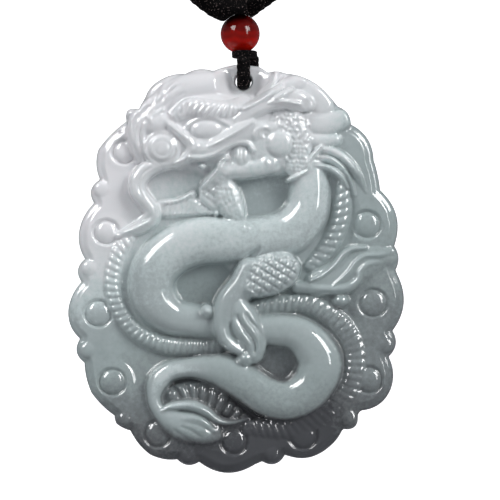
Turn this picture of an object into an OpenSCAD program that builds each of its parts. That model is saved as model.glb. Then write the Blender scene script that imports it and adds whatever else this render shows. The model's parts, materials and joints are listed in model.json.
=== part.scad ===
// Carved jade pendant on a black braided cord, with an agate bead.
// The origin is under the top of the neck cord, where it lies on the neck.
// The pendant faces -Y, and the hinge runs along Y through the cord in its hole.

/* [Plaque] */
// Width of the plaque
plaque_w = 49.4; // [46:0.2:54]
// Height of the plaque
plaque_h = 60; // [56:0.5:66]
// Thickness of the rim, where there is no carving
rim_t = 3.6; // [3:0.1:4.2]
// Height of the highest carving over the rim's face
relief = 5.2; // [4:0.1:6]
// Bevel along both edges of the rim
rim_bevel = 0.6; // [0.4:0.05:0.8]

/* [Hanging loop] */
// Diameter of the loop's cord
loop_d = 2; // [1.6:0.05:2.2]
// How much wider the hole is than the loop's cord
hole_room = 0.4; // [0.3:0.05:0.6]
// Gap between the cord and the top of the hole that hangs on it
hang_gap = 0.05; // [0.04:0.01:0.08]
// Gap between the loop's strands and the faces of the plaque
strand_gap = 0.12; // [0.1:0.01:0.2]
// How far the back strand stands to the right of the front one
back_strand_shift = 1.3; // [0.6:0.1:1.4]

/* [Knot] */
// Width of the collar knot from the front
knot_w = 3.8; // [3.4:0.1:4.2]
// Height of the collar knot
knot_h = 1.1; // [1:0.05:1.3]
// How far the bead sinks into the knot
bead_sink = 0.5; // [0.3:0.05:0.6]
// How far the knot's underside is over the hinge in the hole
knot_rise = 3.35; // [3.2:0.05:3.7]
// How far the knot's middle stands to the right of the loop
knot_shift = 0.15; // [0:0.05:0.3]

/* [Bead] */
// Diameter of the agate bead
bead_d = 5.8; // [5.4:0.1:6.4]
// How far the bead's axis stands to the left of the loop
bead_shift = 0.5; // [0:0.1:0.6]
// Diameter of the thread through the bead
thread_d = 1.6; // [1.2:0.1:2]
// Gap between pieces that touch on the real pendant
seat_gap = 0.12; // [0.08:0.01:0.2]

/* [Neck cord] */
// Diameter of the neck cord
cord_d = 4.2; // [3.6:0.1:4.4]
// Thickness of the cord's two ends where they sit on the bead, as a share of the cord's
end_share = 0.8; // [0.7:0.01:0.82]

/* [Hidden] */
$fn = 64;

jade = [0.72, 0.77, 0.76];
black = [0.05, 0.05, 0.06];
agate = [0.4, 0.11, 0.06];

// The carving is laid out on a drawing grid with x to the right and y down.
// The plaque is 336 steps wide and 408 steps tall on it, with its middle at (236, 269).
grid_w = 336;
grid_h = 408;
mid = [236, 269];
step_x = plaque_w / grid_w;
step_z = plaque_h / grid_h;
hole_at = [243.5, 81];

// Grid cells over the front, each way.
cells = 68;
// Where the bevel starts on the back, as a share of the way from the middle to the edge.
bevel_at = 0.97;

// Levels of the carving are shares of the relief over the rim's face.
edge_level = 0.15;
inner_level = 0.28;
// How far in from the edge the ground has risen to its inner level, in grid steps.
rise_reach = 30;
lobe_crown = 0.34;
// A lobe's spread as a share of the ring round its pearl.
lobe_spread = 1.7;
pearl_foot = 0.24;
pearl_crown = 0.38;
pearl_groove = 0.2;
// How square the section of a strand is: 2 is a round one.
strand_square = 2.5;
hollow_square = 2.6;

// The scalloped outline, from the top leftwards round the plaque.
// Columns: x, y of a corner, and the bulge of the arc after it as a share of half its chord.
outline = [
    [213, 70.5, 0.23], [185, 73.5, 0.16], [160, 79.5, 0.2], [145, 97, 0.05], [139, 109.5, 0.8],
    [126, 121, 0.08], [98, 149, 0.19], [99.5, 179.5, 0.5], [93.5, 203, 0.15], [79, 229, 0.2],
    [84.5, 259, 0.46], [81, 282, 0.15], [68, 308, 0.26], [79.5, 339, 0.46], [84, 363, 0.1],
    [91, 393, 0.09], [114, 416, 0.1], [116, 424, 0.12], [130, 431, 0.12], [150, 455, 0.16],
    [177, 460, 0.4], [199, 462.5, 0.35], [255, 465, 0.02], [262, 462, 0.5], [285, 455.5, 0.3],
    [330, 447, 0.12], [343, 429.5, 0.65], [358, 415, 0.02], [361, 411, 0.3], [391, 390, 0.22],
    [389, 357, 0.4], [393, 331, 0.31], [398, 275, 0.02], [396, 270, 0.3], [394.7, 246, 0.33],
    [380.5, 190, 0.06], [374, 160, 0.3], [351, 124, 0.33], [338, 106, 0.03], [322, 88.5, 0.1],
    [304, 77.5, 0.08], [286, 73, 0.15], [268, 72, 0.02], [259, 66, 0.02], [237, 64, 0.08]
];
// Points on each arc of the outline.
arc_parts = 8;

// Cloud pearls. Columns: x, y, radius of the pearl, radius of the ring round it.
pearls = [
    [124, 152, 10, 14], [106, 232, 11, 15], [98, 313.5, 13, 18], [112, 382, 12.5, 18],
    [157, 430, 14, 20], [232, 443, 15, 22], [303, 428, 15, 22], [366.5, 381, 14, 20],
    [373, 303, 14.7, 21], [366.5, 224.5, 13.7, 21], [350, 150, 12, 20]
];

// Hollows inside the coils. Columns: x, y, half width, half height, level of the floor, share of
// the half width that the wall takes.
hollows = [
    [266, 197, 36, 30, -0.04, 0.2], [201, 284, 40, 30, -0.04, 0.2], [276, 365, 30, 26, -0.04, 0.2],
    [172, 187, 40, 24, 0.03, 0.2], [205, 395, 48, 24, 0.04, 0.2], [242, 413, 26, 11, 0.04, 0.3],
    [337, 222, 24, 44, 0.1, 0.5]
];

// Round masses. Columns: x, y, half width, half height, level of the top.
masses = [
    [161, 148, 15.5, 15.5, 0.96], [207, 130, 19, 11, 0.82], [280, 146, 15, 15, 0.8],
    [228, 138, 66, 44, 0.6], [292, 142, 30, 36, 0.6], [263, 131, 9, 9, 0.76],
    [343, 302, 9, 9, 0.62], [206, 311, 9, 9, 0.84], [247, 359, 10, 10, 0.82],
    [241, 155, 12, 13, 0.7]
];

// Carved strands. Columns: x, y, half width, level of the crest.
body_upper = [
    [309, 168, 20, 0.58], [310, 195, 21.5, 0.7], [305, 216, 23, 0.75], [288, 233, 24, 0.76],
    [260, 240, 24, 0.76], [230, 240, 24.5, 0.76], [200, 241, 24.5, 0.77], [174, 250, 24.5, 0.77],
    [156, 267, 24.5, 0.77], [151, 286, 24, 0.76], [157, 304, 22.5, 0.72], [172, 317, 19.5, 0.66],
    [190, 321, 18, 0.6], [220, 326, 17, 0.5]
];
body_lower = [
    [250, 330, 16, 0.56], [275, 330, 18, 0.66], [295, 333, 19, 0.72], [311, 345, 22, 0.76],
    [320, 365, 24.5, 0.77], [310, 388, 23.5, 0.77], [290, 400, 22, 0.76], [268, 397, 21.5, 0.75],
    [245, 382, 21, 0.71], [228, 372, 20, 0.65], [210, 367, 16, 0.58], [190, 367, 11.5, 0.52],
    [168, 370, 11, 0.5], [156, 379, 10.5, 0.48], [152, 392, 9.5, 0.46], [154, 407, 10, 0.46]
];
comb_left = [
    [124, 242, 7, 0.4], [116, 258, 8, 0.42], [113, 281, 8.5, 0.43], [117, 306, 8.5, 0.43],
    [131, 327, 8.5, 0.43], [150, 340, 8.5, 0.43], [172, 346, 8.5, 0.42], [215, 347, 7.5, 0.4]
];
comb_neck = [
    [343, 176, 7, 0.42], [343, 203, 8.5, 0.42], [340, 222, 9, 0.42], [333, 239, 9, 0.42],
    [324, 252, 8, 0.4], [311, 265, 6, 0.38]
];
comb_coil = [
    [258, 307, 7, 0.4], [285, 304, 8.5, 0.42], [306, 304, 9, 0.42], [326, 313, 9.5, 0.43],
    [344, 328, 10, 0.43], [355, 349, 10, 0.43], [355, 372, 10, 0.42], [348, 391, 10, 0.42],
    [333, 407, 10, 0.42], [312, 421, 10, 0.42], [288, 430, 9.5, 0.42], [252, 428, 8, 0.4]
];
shoulder = [[262, 271, 23, 0.9], [281, 273, 21, 0.9]];
limb = [
    [252, 268, 14, 0.88], [238, 289, 14.5, 0.87], [228, 308, 15, 0.87], [226, 324, 14.5, 0.85],
    [236, 338, 11, 0.83], [246, 352, 9, 0.82]
];
toe_middle = [[230, 315, 10, 0.87], [249, 331, 9, 0.87], [257, 346, 7, 0.84], [258, 358, 5, 0.78]];
toe_outer = [[236, 302, 10, 0.87], [255, 318, 9, 0.86], [264, 336, 6.5, 0.82], [264, 350, 5, 0.78]];
flame_stem = [
    [299, 287, 9, 0.5], [325, 288, 8, 0.56], [346, 288, 8, 0.6], [359, 284, 7.5, 0.6],
    [366, 271, 7.5, 0.6], [377, 265, 8, 0.56], [390, 264, 6, 0.4]
];
flame_low = [[315, 284, 5, 0.5], [331, 271, 5, 0.55], [343, 256, 5, 0.56], [368, 247, 4, 0.46]];
flame_high = [[338, 282, 5, 0.56], [348, 270, 5, 0.58], [355, 259, 5, 0.57], [386, 255, 4, 0.42]];
tuft = [
    [160, 413, 13, 0.5], [176, 419, 17, 0.6], [195, 427, 18, 0.62], [208, 434, 14, 0.55],
    [218, 439, 7, 0.42]
];
tuft_crest = [[165, 409, 7, 0.6], [182, 405, 7, 0.64], [200, 408, 7, 0.62], [216, 417, 6, 0.52]];
snout = [[168, 126, 10, 0.84], [183, 134, 11, 0.88], [188, 148, 11, 0.88], [180, 161, 9, 0.78]];
muzzle = [[190, 147, 15, 0.84], [215, 147, 14, 0.82], [238, 137, 12, 0.78], [256, 130, 10, 0.7]];
brow = [[179, 111, 9, 0.8], [196, 108, 11, 0.84], [216, 110, 11, 0.83], [237, 104, 9, 0.76]];
horn = [[240, 120, 9, 0.72], [262, 107, 10, 0.72], [284, 98, 10, 0.68], [306, 92, 10, 0.56]];
jaw = [
    [203, 190, 6, 0.56], [214, 177, 7, 0.62], [226, 167, 8, 0.66], [242, 163, 9, 0.66],
    [264, 158, 10, 0.64]
];
beard = [[208, 190, 7, 0.56], [227, 196, 15, 0.62], [236, 212, 12, 0.6], [241, 226, 6, 0.5]];
whisker = [
    [172, 165, 7, 0.6], [151, 166, 9, 0.66], [138, 177, 9.5, 0.68], [135, 190, 9.5, 0.68],
    [144, 204, 9.5, 0.66], [153, 216, 8.5, 0.6], [146, 229, 7.5, 0.52], [124, 237, 6, 0.42]
];
chin_strip = [[160, 209, 8, 0.34], [188, 206, 10, 0.36], [212, 212, 5, 0.36]];
hair_front = [
    [150, 106, 13, 0.52], [168, 94, 15, 0.6], [192, 87, 15, 0.62], [216, 84, 13, 0.54]
];
hair_side = [[144, 118, 11, 0.5], [137, 134, 9, 0.5], [141, 152, 8, 0.5]];
mane_top = [[284, 86, 10, 0.48], [306, 95, 14, 0.52], [322, 108, 13, 0.5]];
mane_middle = [[308, 122, 13, 0.54], [328, 124, 12, 0.5], [346, 120, 8, 0.38]];
mane_low = [[310, 139, 11, 0.54], [332, 139, 11, 0.5], [350, 150, 9, 0.4]];
mane_tail = [[308, 156, 7, 0.58], [332, 160, 7, 0.54], [350, 172, 6, 0.46], [361, 188, 5, 0.34]];
strands = [
    comb_left, comb_neck, comb_coil, chin_strip, hair_side, hair_front, mane_top, mane_middle,
    mane_low, mane_tail, body_upper, body_lower, tuft, tuft_crest, flame_low, flame_high,
    flame_stem, shoulder, limb, toe_middle, toe_outer, whisker, beard, jaw, horn, muzzle, snout,
    brow
];

// The bare place round the hole that the front strand hangs over. Half widths in grid steps.
bare_from = [243.5, 84];
bare_to = [243.5, 56];
bare_half = 16;
bare_fade = 9;

// The route of the neck cord, in mm from the bead's centre, from its left end over the top.
// The left end sits in front of the right one. Columns: x, y, z.
neck_route = [
    [1, -1.85, 3.8], [-0.2, -1.85, 3.7], [-1.5, -1.85, 3.7], [-2.8, -1.75, 3.95], [-4, -1.6, 4.7],
    [-5.6, -1.3, 5.95], [-9.4, -0.6, 9.4], [-16, 0, 16], [-26, 0, 30], [-37, 0, 51], [-48, 0, 78], [-58, 0, 109],
    [-66, 0, 141], [-71, 0, 174], [-72, 0, 196], [-70, 0, 215], [-63, 0, 233], [-52, 0, 248],
    [-37, 0, 259], [-19, 0, 266], [0, 0, 268], [19, 0, 266], [37, 0, 259], [52, 0, 248],
    [63, 0, 233], [70, 0, 215], [72, 0, 196], [71, 0, 174], [66, 0, 141], [58, 0, 109],
    [48, 0, 78], [37, 0, 51], [26, 0, 31], [16, 0, 18.6], [8.8, 0.6, 10.9],
    [5.3, 1.3, 7.6], [3.5, 1.6, 6.25], [2.1, 1.8, 5.2], [1.1, 1.85, 4.15], [0.3, 1.85, 3.3]
];
neck_parts = 2;
neck_sides = 10;
// Rings at each end over which the cord swells from its thin end.
swell_rings = 5;

loop_sides = 8;
// How far the strands lean in under the knot, as a share of the loop's cord.
tuck_share = 0.36;
// Straight stretch at a strand's end, and how far inside the faces the bend begins, as such shares.
end_stretch_share = 0.2;
inside_share = 0.25;
// The bend from the hole into a strand, which dips before it turns up.
// Columns: in from the strand and up from the hinge, as shares of the loop's cord, share of the lean.
bend_rows = [[0.57, -0.08, 0], [0.3, -0.25, 0], [0.07, -0.15, 0], [0, 0.2, 0.2]];

knot_sides = 16;
// Rings of the knot, from its underside up. Columns: share of the width, of the height.
knot_rings = [[0.01, 0], [0.8, 0], [0.97, 0.25], [1, 0.5], [0.95, 0.8], [0.75, 1], [0.01, 1]];

// Sizes that follow from the others.
hole_d = loop_d + hole_room;
face = rim_t / 2;
tuck = tuck_share * loop_d;
neck_top = max([for (p = neck_route) p.z]);
bead_z = cord_d / 2 - neck_top;
strand_y = face + strand_gap + loop_d / 2;
knot_depth = 2 * (strand_y - tuck + loop_d / 2);
axis_z = bead_z - bead_d / 2 - seat_gap - (knot_h - bead_sink) - knot_rise;
hole_z = axis_z - (hole_room / 2 - hang_gap);

// Grid

function grid_x(x) = (x - hole_at.x) * step_x;
function grid_z(y) = (hole_at.y - y) * step_z;
function mix(a, b, t) = a + (b - a) * t;
function clamp01(t) = min(1, max(0, t));
function smooth(t) = let (s = clamp01(t)) s * s * (3 - 2 * s);
function turned(p) = let (a = atan2(mid.y - p.y, p.x - mid.x)) a < 95 ? a + 360 : a;

// Point on the arc from a to b at share t of it, where it bulges outward by the given share.
function arc_point(a, b, bulge, t) =
    let (half = (b - a) / 2, out = [half.y, -half.x], lift = bulge * (1 - pow(2 * t - 1, 2)))
    a + 2 * half * t - out * lift;

function at(table, i) = table[i % len(table)];
function corner(i) = [at(outline, i).x, at(outline, i).y];
outline_points = [
    for (i = [0:len(outline) - 1])
        for (k = [0:arc_parts - 1]) arc_point(corner(i), corner(i + 1), outline[i][2], k / arc_parts)
];
outline_reach = concat(
    [for (p = outline_points) [turned(p), norm(p - mid)]],
    [[turned(outline_points[0]) + 360, norm(outline_points[0] - mid)]]
);
function reach(a) = lookup(a < outline_reach[0][0] ? a + 360 : a, outline_reach);

// A square grid laid over a disc, and the disc stretched to the outline.
function on_disc(u, v) = [u * sqrt(1 - v * v / 2), v * sqrt(1 - u * u / 2)];
function spot(d) = let (r = reach(atan2(d.y, d.x))) [mid.x + r * d.x, mid.y - r * d.y];

// Levels of the carving

function near_line(p, a, b) = clamp01((p - a) * (b - a) / ((b - a) * (b - a)));
function dome(d, square) = sqrt(1 - pow(d, square));
function strand_piece(p, a, b) =
    let (
        t = near_line(p, [a.x, a.y], [b.x, b.y]),
        d = norm(p - [mix(a.x, b.x, t), mix(a.y, b.y, t)]) / mix(a[2], b[2], t)
    )
    d < 1 ? mix(a[3], b[3], t) * dome(d, strand_square) : -1;
function strand_level(p, s) = max([for (i = [0:len(s) - 2]) strand_piece(p, s[i], s[i + 1])]);
function mass_level(p, m) =
    let (d = norm([(p.x - m.x) / m[2], (p.y - m.y) / m[3]])) d < 1 ? m[4] * dome(d, strand_square) : -1;
function lobe_level(p, s) =
    let (d = norm(p - [s.x, s.y]) / (lobe_spread * s[3]))
    d < 1 ? mix(edge_level, lobe_crown, dome(d, 2)) : -1;
function pearl_level(p, s) =
    let (d = norm(p - [s.x, s.y]))
    d < s[2] ? mix(pearl_foot, pearl_crown, dome(d / s[2], 2)) : d < s[3] ? pearl_groove : -1;

// The ground rises from the rim. In is how far the place is inside the edge.
function ground(p, in) =
    max(concat(
        [mix(edge_level, inner_level, smooth(in / rise_reach))],
        [for (s = pearls) lobe_level(p, s)]
    ));
function hollowed(p, level, i = 0) =
    i == len(hollows) ? level :
    let (
        h = hollows[i],
        across = pow(abs(p.x - h.x) / h[2], hollow_square),
        up = pow(abs(p.y - h.y) / h[3], hollow_square),
        d = pow(across + up, 1 / hollow_square),
        cut = d < 1 ? min(level, mix(h[4], level, smooth((d - 1 + h[5]) / h[5]))) : level
    )
    hollowed(p, cut, i + 1);
function pearled(p, level) =
    let (hits = [for (s = pearls) if (norm(p - [s.x, s.y]) < s[3]) pearl_level(p, s)])
    len(hits) == 0 ? level : max(hits);
function bared(p, level) =
    let (
        t = near_line(p, bare_from, bare_to),
        d = norm(p - bare_from - (bare_to - bare_from) * t)
    )
    mix(0, level, smooth((d - bare_half) / bare_fade));
function level(p, rho) =
    bared(p, max(concat(
        [hollowed(p, pearled(p, ground(p, norm(p - mid) * (1 / rho - 1))))],
        [for (s = strands) strand_level(p, s)],
        [for (m = masses) mass_level(p, m)]
    )));

// Tubes

function unit(v) = v / norm(v);
function way(points, i) = unit(points[min(i + 1, len(points) - 1)] - points[max(i - 1, 0)]);
function curve_point(a, b, c, d, t) =
    0.5 * (2 * b + (c - a) * t + (2 * a - 5 * b + 4 * c - d) * t * t + (3 * b - a - 3 * c + d) * t * t * t);
function curve(p, parts) = concat(
    [
        for (i = [0:len(p) - 2])
            for (k = [0:parts - 1])
                curve_point(p[max(i - 1, 0)], p[i], p[i + 1], p[min(i + 2, len(p) - 1)], k / parts)
    ],
    [p[len(p) - 1]]
);

// A tube along points, with a radius for each and side_way across the bend.
module tube(points, radii, sides, side_way) {
    rings = len(points);
    skin = [
        for (i = [0:rings - 1])
            let (t = way(points, i), n = unit(cross(t, side_way)), b = cross(n, t))
            for (k = [0:sides - 1])
                points[i] + radii[i] * (cos(360 * k / sides) * n + sin(360 * k / sides) * b)
    ];
    walls = [
        for (i = [0:rings - 2]) for (k = [0:sides - 1])
            let (a = i * sides + k, b = i * sides + (k + 1) % sides)
            each [[a, a + sides, b], [b, a + sides, b + sides]]
    ];
    first_cap = [for (k = [0:sides - 1]) k];
    last_cap = [for (k = [sides - 1:-1:0]) (rings - 1) * sides + k];
    polyhedron(skin, concat(walls, [first_cap, last_cap]), convexity = 10);
}

// Sub-parts

// The closed stone: carved front, bevelled rim and plain back.
module stone() {
    n = cells;
    row = n + 1;
    seats = [for (j = [0:n]) for (i = [0:n]) on_disc(2 * i / n - 1, 2 * j / n - 1)];
    rim = concat(
        [for (i = [0:n - 1]) i], [for (j = [0:n - 1]) j * row + n],
        [for (i = [n:-1:1]) n * row + i], [for (j = [n:-1:1]) j * row]
    );
    front = [
        for (d = seats)
            let (p = spot(d), rho = norm(d), edge = rho > 0.999)
            [grid_x(p.x), edge ? rim_bevel - face : -face - relief * level(p, max(rho, 0.01)), grid_z(p.y)]
    ];
    side = [for (k = rim) [front[k].x, face - rim_bevel, front[k].z]];
    back = [for (k = rim) let (p = spot(seats[k] * bevel_at)) [grid_x(p.x), face, grid_z(p.y)]];
    count = len(rim);
    side_at = row * row;
    back_at = side_at + count;
    front_faces = [
        for (j = [0:n - 1]) for (i = [0:n - 1])
            let (a = j * row + i, b = a + 1, c = b + row, d = a + row, slant = (2 * i < n) == (2 * j < n))
            each slant ? [[a, c, b], [a, d, c]] : [[a, d, b], [b, d, c]]
    ];
    side_faces = [
        for (k = [0:count - 1])
            let (m = (k + 1) % count)
            each [
                [rim[k], rim[m], side_at + m], [rim[k], side_at + m, side_at + k],
                [side_at + k, side_at + m, back_at + m], [side_at + k, back_at + m, back_at + k]
            ]
    ];
    middle = back_at + count;
    back_faces = [for (k = [0:count - 1]) [back_at + k, back_at + (k + 1) % count, middle]];
    points = concat(front, side, back, [[grid_x(mid.x), face, grid_z(mid.y)]]);
    polyhedron(points, concat(front_faces, side_faces, back_faces), convexity = 12);
}

module jade_plaque() {
    color(jade)
        difference() {
            translate([0, 0, hole_z]) stone();
            translate([0, 2 * (rim_t + relief), hole_z])
                rotate([90, 0, 0]) cylinder(d = hole_d, h = 4 * (rim_t + relief));
        }
}

module hanging_loop() {
    r = loop_d / 2;
    lift = knot_rise - seat_gap;
    inside = strand_y - face + inside_share * loop_d;
    // Columns: how far in from the strand's straight run, height over the hinge, share of the lean.
    rows = concat(
        [[inside, 0, 0]],
        [for (b = bend_rows) [b.x * loop_d, b.y * loop_d, b.z]],
        [[0, lift - r, 1], [tuck, lift - end_stretch_share * loop_d, 1], [tuck, lift, 1]]
    );
    front_half = [for (i = [len(rows) - 1:-1:0]) [0, rows[i].x - strand_y, rows[i].y]];
    back_half = [for (p = rows) [p.z * back_strand_shift, strand_y - p.x, p.y]];
    route = concat(front_half, back_half);
    color(black)
        translate([0, 0, axis_z]) tube(route, [for (p = route) r], loop_sides, [1, 0, 0]);
}

module collar_knot() {
    skin = [
        for (s = knot_rings) for (k = [0:knot_sides - 1])
            [
                s[0] * knot_w / 2 * cos(360 * k / knot_sides),
                s[0] * knot_depth / 2 * sin(360 * k / knot_sides),
                s[1] * knot_h
            ]
    ];
    walls = [
        for (i = [0:len(knot_rings) - 2]) for (k = [0:knot_sides - 1])
            let (a = i * knot_sides + k, b = i * knot_sides + (k + 1) % knot_sides)
            each [[a, a + knot_sides, b], [b, a + knot_sides, b + knot_sides]]
    ];
    bottom = [for (k = [0:knot_sides - 1]) k];
    top = [for (k = [knot_sides - 1:-1:0]) (len(knot_rings) - 1) * knot_sides + k];
    color(black)
        difference() {
            translate([knot_shift, 0, axis_z + knot_rise])
                polyhedron(skin, concat(walls, [bottom, top]), convexity = 4);
            translate([-bead_shift, 0, bead_z]) sphere(d = bead_d + 2 * seat_gap);
        }
}

module agate_bead() {
    bore_r = thread_d / 2 + seat_gap / 2;
    color(agate)
        translate([-bead_shift, 0, bead_z])
            difference() {
                sphere(d = bead_d);
                cylinder(r = bore_r, h = 2 * bead_d, center = true);
            }
}

module bead_thread() {
    color(black)
        translate([-bead_shift, 0, bead_z]) cylinder(d = thread_d, h = bead_d, center = true);
}

module neck_cord() {
    path = curve(neck_route, neck_parts);
    last = len(path) - 1;
    route = [for (p = path) p + [-bead_shift, 0, bead_z]];
    radii = [
        for (i = [0:last])
            cord_d / 2 * mix(end_share, 1, smooth(min(i, last - i) / swell_rings))
    ];
    color(black)
        difference() {
            tube(route, radii, neck_sides, [0, 1, 0]);
            translate([-bead_shift, 0, bead_z])
                rotate([90, 0, 0]) cylinder(d = bead_d + 2 * seat_gap, h = 3 * cord_d, center = true);
        }
}

jade_plaque();
hanging_loop();
collar_knot();
agate_bead();
bead_thread();
neck_cord();
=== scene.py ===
# %% [markdown]
# # A carved jade pendant on a braided cord
#
# The pendant is a flat oval of pale jade with a dragon carved in low relief on its front. A thin loop
# of black cord goes through a hole near its top, a knot closes the loop under a red agate bead, and a
# thicker braided cord leaves the bead for the neck. The solids come from a CAD model, and this
# script makes what can be seen of them: the carving, the braid, the bead and their finishes.
#
# We start with the frame: it loads the CAD solids, which stay where they are.

# %% Load the frame
import json

import bpy
import numpy as np
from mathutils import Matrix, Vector


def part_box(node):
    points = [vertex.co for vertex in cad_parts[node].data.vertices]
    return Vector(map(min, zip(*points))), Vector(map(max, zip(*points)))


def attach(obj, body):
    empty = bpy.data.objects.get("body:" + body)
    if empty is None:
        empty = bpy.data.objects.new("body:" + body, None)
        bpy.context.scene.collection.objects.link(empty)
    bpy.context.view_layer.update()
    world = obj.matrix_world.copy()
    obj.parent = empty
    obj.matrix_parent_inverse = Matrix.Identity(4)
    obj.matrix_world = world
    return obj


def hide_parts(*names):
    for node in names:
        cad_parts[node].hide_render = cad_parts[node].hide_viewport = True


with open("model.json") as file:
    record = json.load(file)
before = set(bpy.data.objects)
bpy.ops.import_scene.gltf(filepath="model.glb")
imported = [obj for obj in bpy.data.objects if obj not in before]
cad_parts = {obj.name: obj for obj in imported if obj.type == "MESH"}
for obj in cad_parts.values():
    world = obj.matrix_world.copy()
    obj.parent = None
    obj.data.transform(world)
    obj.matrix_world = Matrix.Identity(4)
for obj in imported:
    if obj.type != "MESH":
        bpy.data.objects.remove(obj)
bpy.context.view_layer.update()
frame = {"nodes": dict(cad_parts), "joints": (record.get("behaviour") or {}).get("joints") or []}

# %% [markdown]
# ## The drawing grid
#
# The carving is laid out on a drawing grid, as a carver draws on paper before the stone is touched:
# x runs to the right, y runs down, and the plaque is 336 steps wide and 408 steps high. Two scales
# turn grid steps into metres, and the hole in the plaque ties the drawing to the frame.

# %% Sizes, in metres and in grid steps
MM = 0.001
GRID_W, GRID_H = 336, 408
STEP_X = 49.4 * MM / GRID_W
STEP_Z = 60 * MM / GRID_H
MID = np.array([236.0, 269.0])
HOLE_AT = np.array([243.5, 81.0])
FACE = 1.8 * MM
RELIEF = 5.2 * MM
HOLE_R = 1.2 * MM
HANG = 0.15 * MM
HINGE_Z = frame["joints"][0]["pos_m"][2]
HOLE_Z = HINGE_Z - HANG


def grid_x(x):
    """Metres to the right of the hole: (x - hole) times the step."""
    return (x - HOLE_AT[0]) * STEP_X


def grid_z(y):
    """Height in metres: the grid's y runs down, so it is taken from the hole's."""
    return HOLE_Z + (HOLE_AT[1] - y) * STEP_Z


low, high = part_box("jade_plaque")
print("plaque in CAD, mm:", [round((b - a) * 1000, 2) for a, b in zip(low, high)])

# %% [markdown]
# ## Camera and light
#
# The picture looks straight at the plaque from some way off, so a long lens is used: near things
# aren't enlarged, and the round bead stays round. The width of the view at the carving sets the lens.

# %% Camera
VIEW_STEPS = 500
VIEW_MID = (250, 250)
VIEW_FROM = 0.6
SENSOR = 36


def make_camera():
    """A camera in front of the carving. Lens = sensor * distance / width of the view."""
    data = bpy.data.cameras.new("camera")
    data.sensor_width = SENSOR
    data.lens = SENSOR * VIEW_FROM / (VIEW_STEPS * STEP_X)
    camera = bpy.data.objects.new("camera", data)
    camera.location = (grid_x(VIEW_MID[0]), -VIEW_FROM - FACE - RELIEF / 3, grid_z(VIEW_MID[1]))
    camera.rotation_euler = (np.pi / 2, 0, 0)
    bpy.context.scene.collection.objects.link(camera)
    bpy.context.scene.camera = camera
    return camera


camera = make_camera()
bpy.context.scene.view_settings.view_transform = "Standard"
print("lens in mm:", round(camera.data.lens, 1))

# %% [markdown]
# Polished stone is read by its reflections. A few soft lamps of a plain shape give each rounded strand
# one clear highlight, and a pale world fills the rest. The two shine lamps are seen in reflections
# alone, and the front fill only lights, so light and highlights can be set one by one.

# %% Lamps
TARGET = Vector((grid_x(MID[0]), -FACE, grid_z(MID[1])))


def softbox(name, azimuth, elevation, reach, wide, high, watts):
    """A flat lamp on a ball round the plaque: middle + reach * (sin a cos e, -cos a cos e, sin e).

    Azimuth a is 0 in front and 90 to the right, and e is the elevation.
    """
    data = bpy.data.lights.new(name, "AREA")
    data.shape = "RECTANGLE"
    data.size, data.size_y = wide, high
    data.energy = watts
    lamp = bpy.data.objects.new(name, data)
    a, e = np.radians(azimuth), np.radians(elevation)
    out = Vector((np.sin(a) * np.cos(e), -np.cos(a) * np.cos(e), np.sin(e)))
    lamp.location = TARGET + out * reach
    lamp.rotation_euler = (-out).to_track_quat("-Z", "Y").to_euler()
    lamp.visible_camera = False
    bpy.context.scene.collection.objects.link(lamp)
    return lamp


# Name, azimuth, elevation, reach, width, height, watts.
softbox("window_left", -58, 44, 0.7, 0.12, 0.4, 1.9)
softbox("window_right", 52, 30, 0.7, 0.26, 0.3, 2.6)
softbox("shine_left", -42, 33, 0.7, 0.2, 0.34, 2.4).visible_diffuse = False
softbox("shine_right", 42, 22, 0.7, 0.13, 0.55, 1.8).visible_diffuse = False
softbox("front_fill", -20, 30, 1.0, 0.9, 0.7, 1.7).visible_glossy = False

# %% World
WORLD_COLOUR = (0.86, 0.9, 1, 1)
WORLD_STRENGTH = 0.17


def make_world():
    """A pale world of one even colour."""
    world = bpy.data.worlds.new("room")
    world.use_nodes = True
    background = world.node_tree.nodes["Background"]
    background.inputs["Color"].default_value = WORLD_COLOUR
    background.inputs["Strength"].default_value = WORLD_STRENGTH
    bpy.context.scene.world = world


make_world()
print("world strength:", WORLD_STRENGTH)

# %% [markdown]
# ## Shader maths as expressions
#
# A material in Blender is a net of nodes. Written out node by node it can't be read, so one small class
# wraps a socket: `a * 2 + b` on two of them adds the Math nodes and links. All other nodes come from
# its one method `add`, which takes the node's type, its settings and the values of its sockets.

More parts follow.
